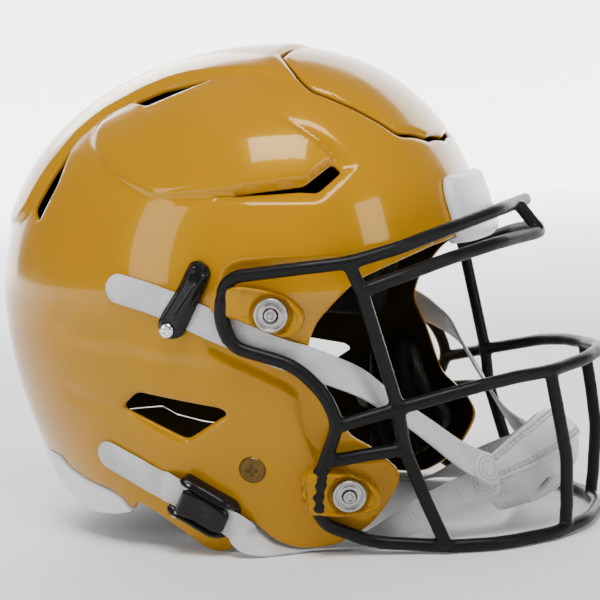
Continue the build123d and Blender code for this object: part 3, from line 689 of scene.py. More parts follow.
panel_half_plan = inset_plan(panel_cut, PANEL_GAP)
panel_map = to_map(np.array([top_point(x, y) for x, y in panel_half_plan]))
panel_outline = np.vstack([panel_map, arc(panel_map[-1], panel_map[0])])
panel = mirror_half(shell_half("crown_panel", panel_outline, [], SHEET_SPACING, SHELL_THICKNESS, panel_relief))
finish_piece(panel, "flex_panel", PAINT, "flex_panel", slot="shell_paint")


# ---------------------------------------------------------------- solid helpers
def join(*shapes):
    """One shape from several (points, faces) shapes."""
    points, faces = [], []
    for shape_points, shape_faces in shapes:
        start = len(points)
        points += [tuple(p) for p in shape_points]
        faces += [tuple(v + start for v in face) for face in shape_faces]
    return points, faces


def twin(shape):
    """Mirror image of a shape on the wearer's left."""
    return [(-p[0], p[1], p[2]) for p in shape[0]], [tuple(reversed(face)) for face in shape[1]]


def make(name, shape, body, material, *nodes, slot=None):
    """Closed object from a shape, with outward normals."""
    piece = mesh_object(name, *shape)
    mesh = bmesh.new()
    mesh.from_mesh(piece.data)
    bmesh.ops.recalc_face_normals(mesh, faces=mesh.faces[:])
    mesh.to_mesh(piece.data)
    mesh.free()
    return finish_piece(piece, body, material, *nodes, slot=slot)


def make_pair(name, shape, body, material, *nodes, slot=None):
    """A right-hand piece and its twin, each for its own nodes."""
    for side, sign in SIDES:
        own = shape if sign == 1 else twin(shape)
        own_body = body if body == "root" else f"{body}_{side}"
        make(f"{name}_{side}", own, own_body, material, *[f"{n}_{side}" for n in nodes], slot=slot)


WALL_ROWS = 3


def block(outline, top_at, bottom_at, spacing, holes=()):
    """Closed shape between two surfaces over a plane outline."""
    flat, faces, rings = triangulate(outline, list(holes), spacing)
    top, bottom = top_at(flat), bottom_at(flat)
    count = len(flat)
    points = [*top, *bottom]
    polygons = [tuple(f) for f in faces] + [tuple(reversed([v + count for v in f])) for f in faces]
    for ring in rings:
        rows = [list(ring)]
        for step in range(1, WALL_ROWS):
            share = step / WALL_ROWS
            rows.append(list(range(len(points), len(points) + len(ring))))
            points += [top[v] * (1 - share) + bottom[v] * share for v in ring]
        rows.append([v + count for v in ring])
        for upper, lower in zip(rows, rows[1:]):
            for i in range(len(ring)):
                j = (i + 1) % len(ring)
                polygons.append((upper[i], upper[j], lower[j], lower[i]))
    return points, polygons


def edge_distance(flat, outline):
    return nearest(flat, resample(outline, 0.4))


def local(axes, uv, z):
    """Points over a local plane at heights z."""
    origin, along, across, normal = axes
    return origin + uv[:, :1] * along + uv[:, 1:2] * across + np.reshape(z, (-1, 1)) * normal


def dome_below(axes, uv):
    """Height of the dome under places of a local plane."""
    low, high = np.full(len(uv), -40.0), np.full(len(uv), 12.0)
    return bisect(lambda z: dome_value(local(axes, uv, z)) < 0, low, high, 30)


def to_local(axes, places):
    """Plane coordinates of side-view places on the dome."""
    origin, along, across, _ = axes
    points = side_points(places) - origin
    return np.stack([points @ along, points @ across], axis=1)


def side_block(axes, outline, height, spacing, sunk=2.6, holes=()):
    """Block that stands on the side of the shell, with its top given over the local plane."""
    def top_at(uv):
        return local(axes, uv, height(uv))

    def bottom_at(uv):
        return local(axes, uv, dome_below(axes, uv) - sunk)

    return block(outline, top_at, bottom_at, spacing, holes)


def lathe(axes, profile, segments=56):
    """Turned shape about the local z axis; the profile is (radius, height) from the middle outwards."""
    origin, along, across, normal = axes
    points, faces = [], []
    rows = []
    for radius, height in profile:
        if radius == 0:
            rows.append([len(points)] * segments)
            points.append(origin + normal * height)
            continue
        rows.append(list(range(len(points), len(points) + segments)))
        for i in range(segments):
            turn = 2 * math.pi * i / segments
            points.append(origin + (along * math.cos(turn) + across * math.sin(turn)) * radius + normal * height)
    for inner, outer in zip(rows, rows[1:]):
        for i in range(segments):
            j = (i + 1) % segments
            face = []
            for v in (inner[i], outer[i], outer[j], inner[j]):
                if v not in face:
                    face.append(v)
            if len(face) > 2:
                faces.append(tuple(face))
    return points, faces


def circle(radius, count=48):
    turns = np.linspace(0, 2 * math.pi, count, endpoint=False)
    return np.stack([np.cos(turns), np.sin(turns)], axis=1) * radius


def cross_cut(uv, middle, arm, width, depth, soft=0.35):
    """Depth of a cross-shaped recess around a middle point."""
    du, dv = np.abs(uv[:, 0] - middle[0]), np.abs(uv[:, 1] - middle[1])
    one = ease((width / 2 - du) / soft + 0.5) * ease((arm / 2 - dv) / soft + 0.5)
    other = ease((width / 2 - dv) / soft + 0.5) * ease((arm / 2 - du) / soft + 0.5)
    return depth * np.maximum(one, other)


def bend(route, limit=45.0):
    """Dense route with round arcs at its corners."""
    route = [np.array(p, float) for p in route]
    result = [route[0]]
    for before, corner, after in zip(route, route[1:], route[2:]):
        back_way, on_way = before - corner, after - corner
        back_length, on_length = np.linalg.norm(back_way), np.linalg.norm(on_way)
        half = (math.pi - math.acos(np.clip(back_way.dot(on_way) / back_length / on_length, -1, 1))) / 2
        reach = min(limit * math.tan(half), 0.45 * min(back_length, on_length))
        start, end = corner + back_way / back_length * reach, corner + on_way / on_length * reach
        for t in np.linspace(0, 1, 9):
            weights = np.array([(1 - t) ** 2, 2 * t * (1 - t) * math.cos(half), t * t])
            result.append((weights[0] * start + weights[1] * corner + weights[2] * end) / weights.sum())
    result.append(route[-1])
    return np.array(result)


def tube(route, radius, sides=20, step=1.6):
    """Round bar along a dense route; the radius is a number or a function of the route."""
    route = resample(route, step, closed=False)
    radii = np.full(len(route), radius) if np.isscalar(radius) else radius(route)
    points, faces = [], []
    way = route[1] - route[0]
    side = np.cross(way, (0.3, 0.2, 1.0))
    for i, place in enumerate(route):
        way = route[min(i + 1, len(route) - 1)] - route[max(i - 1, 0)]
        way = way / np.linalg.norm(way)
        side = side - way * side.dot(way)
        side /= np.linalg.norm(side)
        other = np.cross(way, side)
        for k in range(sides):
            turn = 2 * math.pi * k / sides
            points.append(place + (side * math.cos(turn) + other * math.sin(turn)) * radii[i])
    for i in range(len(route) - 1):
        for k in range(sides):
            j = (k + 1) % sides
            faces.append((i * sides + k, i * sides + j, (i + 1) * sides + j, (i + 1) * sides + k))
    faces.append(tuple(range(sides))[::-1])
    faces.append(tuple(range((len(route) - 1) * sides, len(route) * sides)))
    return points, faces


# ---------------------------------------------------------------- wire mask
BROW_JOIN = (-123, -21, 154)
BOTTOM_JOIN = (-90, -86.5, 4.9)
BROW_BAR = [BROW_JOIN, (-121, -41, 156), (-114, -66, 158), (-98, -89, 164)]
BROW_BAR += [(-74, -109, 171), (-35, -128, 177.5)]
SIDE_LOOP = [
    BROW_JOIN, (-125, -1, 152), (-125.2, 2, 130), (-123.8, -3, 115.5), (-120.5, -36, 105.5), (-118.5, -51, 90),
    (-116.5, -57, 74), (-112, -45.5, 49), (-109.5, -40, 30), (-104.5, -43, 17.5), (-94, -67, 6.2), BOTTOM_JOIN,
]
BOTTOM_BAR = [BOTTOM_JOIN, (-86, -106, 3.6), (-76, -131, 3.6), (-50, -155, 3.6), (-20, -167, 4.6)]
LOWER_BROW_BAR = [(-111, -71, 143), (-100, -89, 149), (-80, -110, 156), (-50, -130, 161), (0, -142, 161.5)]
MID_BAR = [(-116.4, -56.6, 73), (-101.5, -85, 80), (-82, -124.5, 89), (-66, -142, 91.5), (-50, -156, 92)]
MID_BAR += [(-22, -169, 94), (0, -172, 95)]
UPRIGHT = [(-113.5, -65, 158), (-111, -71, 142.5), (-106, -78, 111.5), (-101, -85, 80), (-99, -87, 58)]
UPRIGHT += [(-94, -96, 30), (-88, -105, 3.8)]
FRONT_UPRIGHT = [(-50, -155.5, 92), (-48, -159.5, 65), (-45, -162, 44), (-41, -160.5, 18), (-39, -159, 4.5)]
SIDE_BAR = [(-112.8, -47, 53), (-107, -67, 56), (-99, -87, 58)]
BROW_LINK = [(0, -130.5, 177), (0, -142, 162)]
WIRE_RADIUS = 3.65
SLEEVE_RADIUS = 4.15
MASK_VOXEL = 0.00105


def across_front(half):
    return half + [(-x, y, z) for x, y, z in reversed(half) if x != 0]


def part_of(route, low, high):
    """The stretch of a dense route between two heights."""
    dense = resample(route, 0.5, closed=False)
    return dense[(dense[:, 2] > low) & (dense[:, 2] < high)]


loop_route = bend(SIDE_LOOP)
wires = [tube(bend(across_front(route)), WIRE_RADIUS) for route in (BROW_BAR, BOTTOM_BAR, LOWER_BROW_BAR, MID_BAR)]
wires.append(tube(np.array(BROW_LINK, float), WIRE_RADIUS))
upper_sleeve = part_of(loop_route[loop_route[:, 2] > 100], 119, 141)
lower_sleeve = part_of(loop_route[(loop_route[:, 2] < 60)], 24, 49)


def ribbed(route):
    """Sleeve radius with four rolls along its length."""
    share = np.linspace(0, 1, len(route))
    return SLEEVE_RADIUS + 0.75 * np.clip(np.sin(share * math.pi * 8), -0.2, 1)


side_wires = [tube(route, WIRE_RADIUS) for route in (loop_route, bend(UPRIGHT), bend(FRONT_UPRIGHT), bend(SIDE_BAR))]
side_wires += [tube(upper_sleeve, SLEEVE_RADIUS), tube(lower_sleeve, ribbed, step=0.7)]
for shape in side_wires:
    wires += [shape, twin(shape)]
cage = mesh_object("mask_cage", *join(*wires))
modify(cage, "REMESH", mode="VOXEL", voxel_size=MASK_VOXEL, use_smooth_shade=True)
modify(cage, "SMOOTH", factor=0.5, iterations=5)
bake(cage)
mask_nodes = ["mask_brow_bar", "mask_lower_brow_bar", "mask_brow_link", "mask_mid_bar", "mask_bottom_bar"]
for wire in ("side_loop", "upright", "front_upright", "side_bar"):
    mask_nodes += [f"mask_{wire}_{side}" for side, _ in SIDES]
finish_piece(cage, "root", MASK_COAT, *mask_nodes, slot="mask_black")

# ---------------------------------------------------------------- mask clips and washers
UPPER_CLIP_SHAPE = [(8.6, 133.5), (8.8, 145), (-8, 147.8), (-22, 145), (-33, 139.5), (-39.5, 132), (-38.5, 124)]
UPPER_CLIP_SHAPE += [(-31, 119.5), (-23, 122.2), (-14, 126.2), (-5, 130.2)]
LOWER_CLIP_SHAPE = [(-34, 26), (-34, 48), (-42, 50), (-54, 48), (-66, 42), (-71, 35), (-69, 28)]
LOWER_CLIP_SHAPE += [(-61, 25), (-50, 24)]
CLIP_HEIGHT = 8.5
CLIP_HOOKS = {"upper": [(6, 134), (9.6, 136.5), (8.2, 139.5), (9.8, 142.5), (6, 145)],
              "lower": [(-35, 27), (-31.6, 30), (-33.4, 33.5), (-31.2, 37), (-33.2, 40.5), (-31.6, 44), (-35, 47.5)]}


def clip_shape(centre, outline):
    """Moulded tray: raised rim, sunk floor and a round seat for the washer."""
    axes = side_frame(*centre)
    edge = resample(round_corners(to_local(axes, outline), 3.5), 0.9)

    def height(uv):
        distance = edge_distance(uv, edge)
        radius = np.hypot(uv[:, 0], uv[:, 1])
        floor = ease((distance - 1.7) / 0.9) * ease((17 - uv[:, 0]) / 3)
        seat = 1 - ease((radius - 10.2) / 1.6)
        top = CLIP_HEIGHT + 0.3 - 1.3 * (1 - ease(distance / 1.1)) - 1.5 * floor
        return np.minimum(top, top * (1 - seat) + 5.4 * seat) - 2.2 * ease((uv[:, 0] - 20) / 8)

    return side_block(axes, edge, height, 1.0, holes=[circle(3.75, 28)])


for level, centre, outline in (("upper", UPPER_CLIP, UPPER_CLIP_SHAPE), ("lower", LOWER_CLIP, LOWER_CLIP_SHAPE)):
    tray = clip_shape(centre, outline)
    make_pair(f"{level}_clip_tray", tray, "root", CLIP_GOLD, f"mask_clip_{level}", slot="clip_gold")
    axes = side_frame(*centre)
    hooks = resample(round_corners(to_local(axes, CLIP_HOOKS[level]), 1.2), 0.7)
    hook_shape = side_block(axes, hooks, lambda uv: 6.8 - 1.5 * (1 - ease(edge_distance(uv, hooks) / 1.5)), 0.8)
    make_pair(f"{level}_clip_hooks", hook_shape, "root", CLIP_GOLD, slot="clip_gold")
    button = lathe(axes, [(0, 11.1), (1.0, 11.1), (1.35, 10.9), (1.5, 10.3), (2.0, 10.25), (2.15, 10.8), (2.9, 10.9),
                          (3.25, 10.6), (3.35, 10.0), (3.35, 4.2), (0, 4.2)], 36)
    make_pair(f"{level}_release_pin", button, f"button_{level}", STEEL, f"release_button_{level}", slot="washer_steel")

WASHER_PROFILE = [(3.75, 6.0), (3.75, 8.9), (4.1, 9.35), (5.0, 9.5), (5.9, 9.25), (6.4, 8.8), (6.9, 8.75), (7.2, 9.2),
                  (7.45, 9.9), (8.0, 10.15), (8.6, 10.0), (8.95, 9.5), (9.1, 8.6), (9.1, 5.4), (3.75, 5.4)]
washers = [lathe(side_frame(*centre), WASHER_PROFILE + [WASHER_PROFILE[0]]) for centre in (UPPER_CLIP, LOWER_CLIP)]
both = join(*washers, *[twin(w) for w in washers])
make("clip_washer_set", both, "root", STEEL, "clip_washers", slot="washer_steel")

# ---------------------------------------------------------------- jaw screws
screw_axes = side_frame(*JAW_SCREW)


def screw_top(uv):
    radius = np.hypot(uv[:, 0], uv[:, 1])
    dome_height = 1.75 - 0.012 * radius**2 - 0.9 * ease((radius - 6.3) / 1.1)
    step_ring = 0.28 * np.exp(-(((radius - 5.4) / 0.35) ** 2))
    return dome_height - step_ring - cross_cut(uv, (0, 0), 6.6, 1.5, 1.1)


jaw_screw = side_block(screw_axes, circle(7.4), screw_top, 0.42, sunk=0.6)
make("jaw_screw_pair", join(jaw_screw, twin(jaw_screw)), "root", BRONZE, "jaw_screws", slot="screw_bronze")

# ---------------------------------------------------------------- strap bridges
BRIDGE_TOP, BRIDGE_FOOT = (12.0, 158.0), (35.0, 120.0)
bridge_run = (BRIDGE_FOOT[0] - BRIDGE_TOP[0], BRIDGE_FOOT[1] - BRIDGE_TOP[1])
bridge_length = math.hypot(*bridge_run)
bridge_middle = ((BRIDGE_TOP[0] + BRIDGE_FOOT[0]) / 2, (BRIDGE_TOP[1] + BRIDGE_FOOT[1]) / 2)
bridge_axes = side_frame(*bridge_middle, heading=bridge_run)
BRIDGE_OUTLINE = [(-22.6, -4.4), (-22.2, 1.8), (-19.5, 5.2), (-12, 6.4), (0, 7.2), (12, 7.7), (19, 6.8), (22.4, 0)]
BRIDGE_OUTLINE += [(19, -6.8), (12, -7.6), (2, -6.6), (-9, -6.0), (-15, -6.6), (-20, -7.0)]
bridge_edge = resample(round_corners(BRIDGE_OUTLINE, 3.0), 0.8)
SCREW_PLACE = np.array([bridge_length / 2 - 4.6, 0.0])


def bridge_top(uv):
    distance = edge_distance(uv, bridge_edge)
    tip = ease((-12 - uv[:, 0]) / 10)
    body_height = 7.6 - 2.2 * tip - 3.0 * (1 - ease(distance / 3.4))
    ridge = 0.8 * np.exp(-(((uv[:, 1] - 2.6 + 0.12 * uv[:, 0]) / 1.3) ** 2)) * ease((11 - uv[:, 0]) / 5)
    from_screw = np.hypot(uv[:, 0] - SCREW_PLACE[0], uv[:, 1])
    seat = 1 - ease((from_screw - 4.3) / 0.8)
    knob = 1.3 * np.exp(-(np.hypot(uv[:, 0] + 19.5, uv[:, 1] + 3.2) / 2.4) ** 2)
    return (body_height + ridge + knob) * (1 - seat) + 6.4 * seat


make_pair("strap_bridge_body", side_block(bridge_axes, bridge_edge, bridge_top, 0.9, sunk=0.4), "root", BLACK,
          "strap_bridge", slot="fitting_black")


def chrome_top(uv):
    radius = np.hypot(uv[:, 0] - SCREW_PLACE[0], uv[:, 1])
    rounded = 8.5 - 0.035 * radius**2 - 0.5 * ease((radius - 3.3) / 0.5)
    return rounded - cross_cut(uv, SCREW_PLACE, 4.2, 0.95, 1.0, 0.25)


chrome_screw = block(circle(3.9) + SCREW_PLACE, lambda uv: local(bridge_axes, uv, chrome_top(uv)),
                     lambda uv: local(bridge_axes, uv, np.full(len(uv), 6.0)), 0.28)
make("bridge_screw_pair", join(chrome_screw, twin(chrome_screw)), "root", CHROME, "bridge_screws", slot="screw_chrome")

# ---------------------------------------------------------------- cam buckles
BUCKLE_CENTRE, BUCKLE_HEADING = (22.0, 27.0), (-0.86, -0.51)
buckle_axes = side_frame(*BUCKLE_CENTRE, heading=BUCKLE_HEADING)
buckle_edge = resample(round_corners([(-18, -12), (14, -12), (18.5, -8), (18.5, 8), (14, 12), (-18, 12)], 4.5), 0.8)


def buckle_top(uv):
    """Two cheeks beside a channel, with a closed nose over the strap's exit."""
    distance = edge_distance(uv, buckle_edge)
    cheek = ease((np.abs(uv[:, 1]) - 8.4) / 0.7)
    ramp = 9.8 - 4.2 * ease((uv[:, 0] - 8) / 10)
    wall = ramp - 2.2 * (1 - ease(distance / 2.4)) + 0.5 * np.exp(-(((uv[:, 0] + 12) / 3.2) ** 2))
    channel = 3.0 + 0.25 * np.sin(uv[:, 0] * 2.0) * ease((distance - 1) / 2)
    return wall * cheek + channel * (1 - cheek)


make_pair("buckle_body", side_block(buckle_axes, buckle_edge, buckle_top, 0.8, sunk=0.5), "root", BLACK,
          "buckle_base", slot="fitting_black")
lever_edge = resample(round_corners([(-13.5, -8.3), (10, -8.3), (15, -6), (15, 6), (10, 8.3), (-13.5, 8.3)], 3.0), 0.8)


def lever_top(uv):
    distance = edge_distance(uv, lever_edge)
    cam = 1.7 * np.exp(-(((uv[:, 0] + 10) / 5.0) ** 2))
    grip = 0.5 * np.clip(np.sin((uv[:, 0] - 5) * 2.6), 0, 1) * ease((uv[:, 0] - 5) / 1) * ease((13 - uv[:, 0]) / 1)
    dish = 0.9 * np.exp(-((uv[:, 0] / 4.0) ** 2 + (uv[:, 1] / 5.0) ** 2))
    return 9.6 + cam + grip * ease((distance - 1.5) / 1) - dish - 1.6 * (1 - ease(distance / 1.8))


def lever_bottom(uv):
    return local(buckle_axes, uv, np.full(len(uv), 6.7) - 1.1 * np.exp(-(((uv[:, 0] + 12) / 2.6) ** 2)))


lever = block(lever_edge, lambda uv: local(buckle_axes, uv, lever_top(uv)), lever_bottom, 0.8)
make_pair("buckle_cam_lever", lever, "lever", BLACK, "buckle_lever", slot="fitting_black")

# ---------------------------------------------------------------- bumpers
def front_point(flat, out):
    """Points of the brow at (x, z) places, moved out along the normal."""
    def at(y):
        return np.stack([flat[:, 0], y, flat[:, 1]], axis=1)

    p = at(bisect(lambda y: dome_value(at(y)) <= 0, np.zeros(len(flat)), np.full(len(flat), -200.0)))
    return p + normals_at(p) * np.reshape(out, (-1, 1))


bumper_edge = resample(round_corners([(-40, 159.3), (40, 159.3), (40, 195.3), (-40, 195.3)], 9.0, steps=9), 1.1)
bumper_edge[:, 0] *= 1 - 0.08 * ease((bumper_edge[:, 1] - 180) / 16)


def bumper_out(flat):
    distance = edge_distance(flat, bumper_edge)
    slot = np.exp(-(((np.abs(flat[:, 0]) - 33.5) / 0.55) ** 2))
    slot = slot * ease((flat[:, 1] - 170) / 2) * ease((190 - flat[:, 1]) / 2)
    return 5.4 - 2.6 * (1 - ease(distance / 2.6)) - 1.7 * slot + 0.5 * ease((170 - flat[:, 1]) / 3)


def bumper_back(flat):
    under = ease((162.8 - flat[:, 1]) / 0.6)
    return front_point(flat, 0.5 * (1 - under) - 5.8 * under)


front = block(bumper_edge, lambda flat: front_point(flat, bumper_out(flat)), bumper_back, 1.1)
make("brow_bumper", front, "root", WHITE_RUBBER, "front_bumper", slot="bumper_white")

REAR_TOP = [(70.5, 19.5), (75.3, 26.2), (82.6, 30.3), (99, 33.8), (114.2, 39.5), (122.2, 45.5), (200, 49.5)]
REAR_FOOT = [(82, 16.5), (95, 15), (105, 15.5), (114, 19), (128, 23), (200, 24)]
top_middle = middle_edge(REAR_TOP, 200.0, 99.0, 80.0)
foot_middle = middle_edge(REAR_FOOT, 200.0, 105.0, 72.0)
top_side = [p for p in resample(REAR_TOP, EDGE_STEP, closed=False) if p[0] < top_middle[-1][1] - 1.5]
foot_side = resample([REAR_TOP[0]] + REAR_FOOT, EDGE_STEP, closed=False)
foot_side = [p for p in foot_side if p[0] < foot_middle[-1][1] - 1.5]
foot_map = to_map(np.vstack([side_points(foot_side[1:]), foot_middle[::-1]]))
top_map = to_map(np.vstack([side_points(top_side), top_middle[::-1]]))
rear_outline = np.vstack([foot_map, arc(foot_map[-1], top_map[-1]), top_map[::-1]])
rear = mirror_half(shell_half("nape_bumper", rear_outline, [], 0.016, 5.2, lambda p, ab: np.full(len(p), 1.3)))
finish_piece(rear, "root", WHITE_RUBBER, "rear_bumper", slot="bumper_white")


# ---------------------------------------------------------------- straps
STRAP_WIDTH, STRAP_THICKNESS = 16.0, 1.6
LIFT = 0.5 + STRAP_THICKNESS / 2


def unit(v):
    return np.array(v, float) / np.linalg.norm(v)


def shell_stations(places):
    """Middle points and cross directions of a strap lying on the right side."""
    middles = [on_side(y, z, LIFT) for y, z in places]
    stations = []
    for i, middle in enumerate(middles):
        ahead = middles[min(i + 1, len(middles) - 1)] - middles[max(i - 1, 0)]
        normal = normals_at(on_side(*places[i])[None, :])[0]
        stations.append((middle, unit(np.cross(normal, ahead))))
    return stations


def spline(values, places):
    """Catmull-Rom curve through evenly numbered values."""
    values = np.array(values, float)
    padded = np.vstack([2 * values[0] - values[1], values, 2 * values[-1] - values[-2]])
    result = []
    for place in places:
        i = min(int(place), len(values) - 2)
        t = place - i
        a, b, c, d = padded[i : i + 4]
        curve = 2 * b + (c - a) * t + (2 * a - 5 * b + 4 * c - d) * t**2 + (3 * b - a - 3 * c + d) * t**3
        result.append(0.5 * curve)
    return np.array(result)


# section of the band, as shares of half the width and of the thickness
SECTION = [(-1.0, 0.0), (-0.985, 0.42), (-0.93, 0.5), (-0.9, 0.36), (-0.86, 0.5), (-0.6, 0.53), (-0.3, 0.55)]
SECTION += [(0, 0.56), (0.3, 0.55), (0.6, 0.53), (0.86, 0.5), (0.9, 0.36), (0.93, 0.5), (0.985, 0.42)]
SECTION += [(1.0, 0.0), (0.985, -0.42), (0.9, -0.5), (0.45, -0.5), (0, -0.5), (-0.45, -0.5), (-0.9, -0.5)]
SECTION += [(-0.985, -0.42)]
RIB_PITCH, RIB_HEIGHT, BAND_STEP = 2.5, 0.62, 0.8


def webbing(stations, ribs, grooves, facing):
    """Flat band with stitched margins, a rounded tail end, ribbed lengths and sewn lines across."""
    count = len(stations)
    coarse = spline([s[0] for s in stations], np.linspace(0, count - 1, count * 12))
    run = np.concatenate([[0], np.cumsum(np.linalg.norm(np.diff(coarse, axis=0), axis=1))])
    spans = [(a % run[-1], b % run[-1]) for a, b in ribs]
    lengths = np.arange(0, run[-1], BAND_STEP)
    places = np.interp(lengths, run, np.linspace(0, count - 1, count * 12))
    middles = spline([s[0] for s in stations], places)
    crosses = spline([s[1] for s in stations], places)
    points, faces = [], []
    for i, (middle, cross) in enumerate(zip(middles, crosses)):
        way = unit(middles[min(i + 1, len(middles) - 1)] - middles[max(i - 1, 0)])
        cross = unit(cross - way * cross.dot(way))
        out = np.cross(way, cross) * facing
        half = STRAP_WIDTH / 2
        if lengths[i] < half:
            half = math.sqrt(max(half**2 - (half - lengths[i]) ** 2, 0.6))
        rise = 0.0
        if any(low < lengths[i] < high for low, high in spans):
            rise = RIB_HEIGHT * max(0.0, math.sin(2 * math.pi * lengths[i] / RIB_PITCH)) ** 0.5
        rise -= sum(0.4 * math.exp(-(((lengths[i] - place) / 0.5) ** 2)) for place in grooves)
        for across, up_share in SECTION:
            height = STRAP_THICKNESS * up_share
            if up_share > 0.5 and abs(across) < 0.87:
                height += rise
            points.append(middle + cross * half * across + out * height)
    size = len(SECTION)
    for i in range(len(middles) - 1):
        for k in range(size):
            j = (k + 1) % size
            faces.append((i * size + k, i * size + j, (i + 1) * size + j, (i + 1) * size + k))
    faces.append(tuple(range(size))[::-1])
    faces.append(tuple(range((len(middles) - 1) * size, len(middles) * size)))
    return points, faces


UPPER_TAIL = [(71, 147), (58, 144), (45, 140.5), (36, 137.5), (28, 134.5), (20, 131), (12, 127.5)]
UPPER_TAIL += [(4, 124), (-5, 120.5), (-14, 116.5), (-23, 112.5), (-32, 109), (-38, 107)]
UPPER_FREE = [
    ((-107, -53, 100), (0.2, 0.25, 1)), ((-99, -66, 92), (0.3, 0.35, 1)), ((-85, -80, 77), (0.5, 0.5, 1)),
    ((-70, -93, 62), (0.6, 0.4, 1)), ((-58, -107, 47), (0.5, 0.3, 1)), ((-51.5, -117.5, 39.5), (0.4, 0.2, 1)),
]
LOWER_TAIL = [(86, 55), (78, 52), (70, 48.5), (62, 45), (54, 41), (47, 38)]
LOWER_FREE = [
    ((-109, -1, 9.5), (0.4, 0, 0.917)), ((-105.5, -7, 6.6), (0.8, 0, 0.6)), ((-98, -16, 4.0), (0.97, 0, 0.22)),
    ((-90, -28, 1.8), (1, 0, 0)), ((-85, -46, 1.8), (1, 0, 0)), ((-80, -62, 5), (0.9, 0.1, 0.4)),
    ((-73, -78, 12), (0.6, 0.2, 0.8)), ((-62, -93, 20), (0.3, 0.2, 1)), ((-55, -107, 26.5), (0.1, 0.2, 1)),
    ((-51, -117, 30), (0.1, 0.2, 1)),
]


def aligned(stations):
    """Stations with every cross direction on the same side as the one before."""
    result = [stations[0]]
    for middle, cross in stations[1:]:
        cross = unit(cross)
        if np.dot(cross, result[-1][1]) < 0:
            cross = -cross
        result.append((np.array(middle, float), cross))
    return result


upper_stations = aligned(shell_stations(UPPER_TAIL) + UPPER_FREE)
IN_BUCKLE = np.array([(-19.5, 0.0), (0.0, 0.0), (19.5, 0.0)])
HEIGHT_IN_BUCKLE = 4.2
in_buckle = [(place, buckle_axes[2]) for place in local(buckle_axes, IN_BUCKLE, np.full(3, HEIGHT_IN_BUCKLE))]
lower_stations = aligned(shell_stations(LOWER_TAIL) + in_buckle + LOWER_FREE)


def strap_facing(stations):
    """Which way the ribbed face of the band looks: away from the shell at its tail."""
    way = unit(stations[1][0] - stations[0][0])
    out = np.cross(way, stations[0][1])
    return 1 if out[0] < 0 else -1


for label, stations, ribs, grooves, start, end in (
    ("upper_strap", upper_stations, (), (6, 9, 40, 43), (-0.107, -0.053, 0.100), (-0.057, -0.106, 0.048)),
    ("lower_strap", lower_stations, ((9, 44), (-46, -12)), (5,), (-0.085, -0.046, 0.002), (-0.053, -0.106, 0.028)),
):
    band = webbing(stations, ribs, grooves, strap_facing(stations))
    for side, sign in SIDES:
        own = band if sign == 1 else twin(band)
        piece = make(f"{label}_webbing_{side}", own, None, WEBBING, f"{label}_{side}", slot="strap_white")
        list(start[1:])
        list(end[1:])
        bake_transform(piece)

# ---------------------------------------------------------------- chin cup
CUP_CENTRE = np.array([0.0, -116.0, 32.0])
CUP_RADII = np.array([48.0, 45.0, 27.0])
CUP_TILT = math.radians(-15)
cup_turn = np.array(Matrix.Rotation(CUP_TILT, 3, "X"))
CUP_SLOT = np.array([-0.66, -0.66])
BAND_HALF = 0.40


def on_cup(ab, out):
    """Points of the chin cup; the map has its middle at the front of the chin."""
    angle = np.hypot(ab[:, 0], ab[:, 1])
    share = np.where(angle > 1e-6, np.sin(angle) / np.clip(angle, 1e-9, None), 1.0)
    way = np.stack([ab[:, 0] * share, -np.cos(angle), ab[:, 1] * share], axis=1)
    p = way * CUP_RADII
    normal = way / CUP_RADII
    normal /= np.linalg.norm(normal, axis=1)[:, None]
    p = p + normal * np.reshape(out, (-1, 1))
    return p @ cup_turn.T + CUP_CENTRE


def band_line(a):
    """Middle of the fabric band over the cup, low at the lugs and high over the chin."""
    return 0.46 - 0.34 * (a / 1.55) ** 2


def band_half(a):
    """Half the band's width in the cup's map, less towards the lugs."""
    return BAND_HALF * (1 - 0.25 * np.clip((np.abs(a) - 0.9) / 0.7, 0, 1))


def ridge_line(ab, route, width):
    """Soft ridge, 1 along a route of the cup's map and 0 away from it."""
    line = resample(np.array(route, float), 0.01, closed=False)
    return np.exp(-((nearest(ab, line) / width) ** 2))


V_HEM = [(-1.5, -0.1), (-1.1, -0.3), (-0.86, -0.74), (-0.56, -1.12), (-0.3, -1.0), (0.0, -0.62)]

LOW_HEM = [(-1.56, -0.62), (-0.9, -1.3)]
HEM_WIDTH = 0.05


def cup_surface(ab):
    """Moulded cradle: raised hems, a ring around the slot, and rows of dimples at the sides."""
    both_ab = np.stack([-np.abs(ab[:, 0]), ab[:, 1]], axis=1)
    out = -0.5 + 1.6 * ridge_line(both_ab, V_HEM, HEM_WIDTH) + 1.2 * ridge_line(both_ab, LOW_HEM, HEM_WIDTH)
    shift = (both_ab - CUP_SLOT) / np.array([0.085, 0.26])
    around = np.hypot(shift[:, 0], shift[:, 1])
    out += 1.1 * np.exp(-(((around - 1.3) / 0.3) ** 2))
    rows = np.sin(both_ab[:, 0] * 62) * np.sin(both_ab[:, 1] * 62)
    in_panel = ease((both_ab[:, 0] + 1.5) / 0.08) * ease((-1.0 - both_ab[:, 0]) / 0.08)
    in_panel = in_panel * ease((both_ab[:, 1] + 0.75) / 0.08) * ease((0.0 - both_ab[:, 1]) / 0.08)
    return out - 0.9 * in_panel * ease((rows - 0.25) / 0.4)


CUP_REACH = 1.62


def cup_outline(cup_reach, above_band):
    """Round outline of the cup, cut off just above the fabric band."""
    across = np.linspace(-cup_reach, cup_reach, 160)
    top_line = band_line(across) + band_half(across) + above_band
    kept = np.hypot(across, top_line) < cup_reach
    top = np.stack([across, top_line], axis=1)[kept]
    first, last = math.atan2(top[-1, 1], top[-1, 0]), math.atan2(top[0, 1], top[0, 0])
    turns = np.linspace(first, last - 2 * math.pi, 130)[1:-1]
    arc_part = np.stack([np.cos(turns), np.sin(turns)], axis=1) * cup_reach
    return resample(np.vstack([top, arc_part]), 0.05)


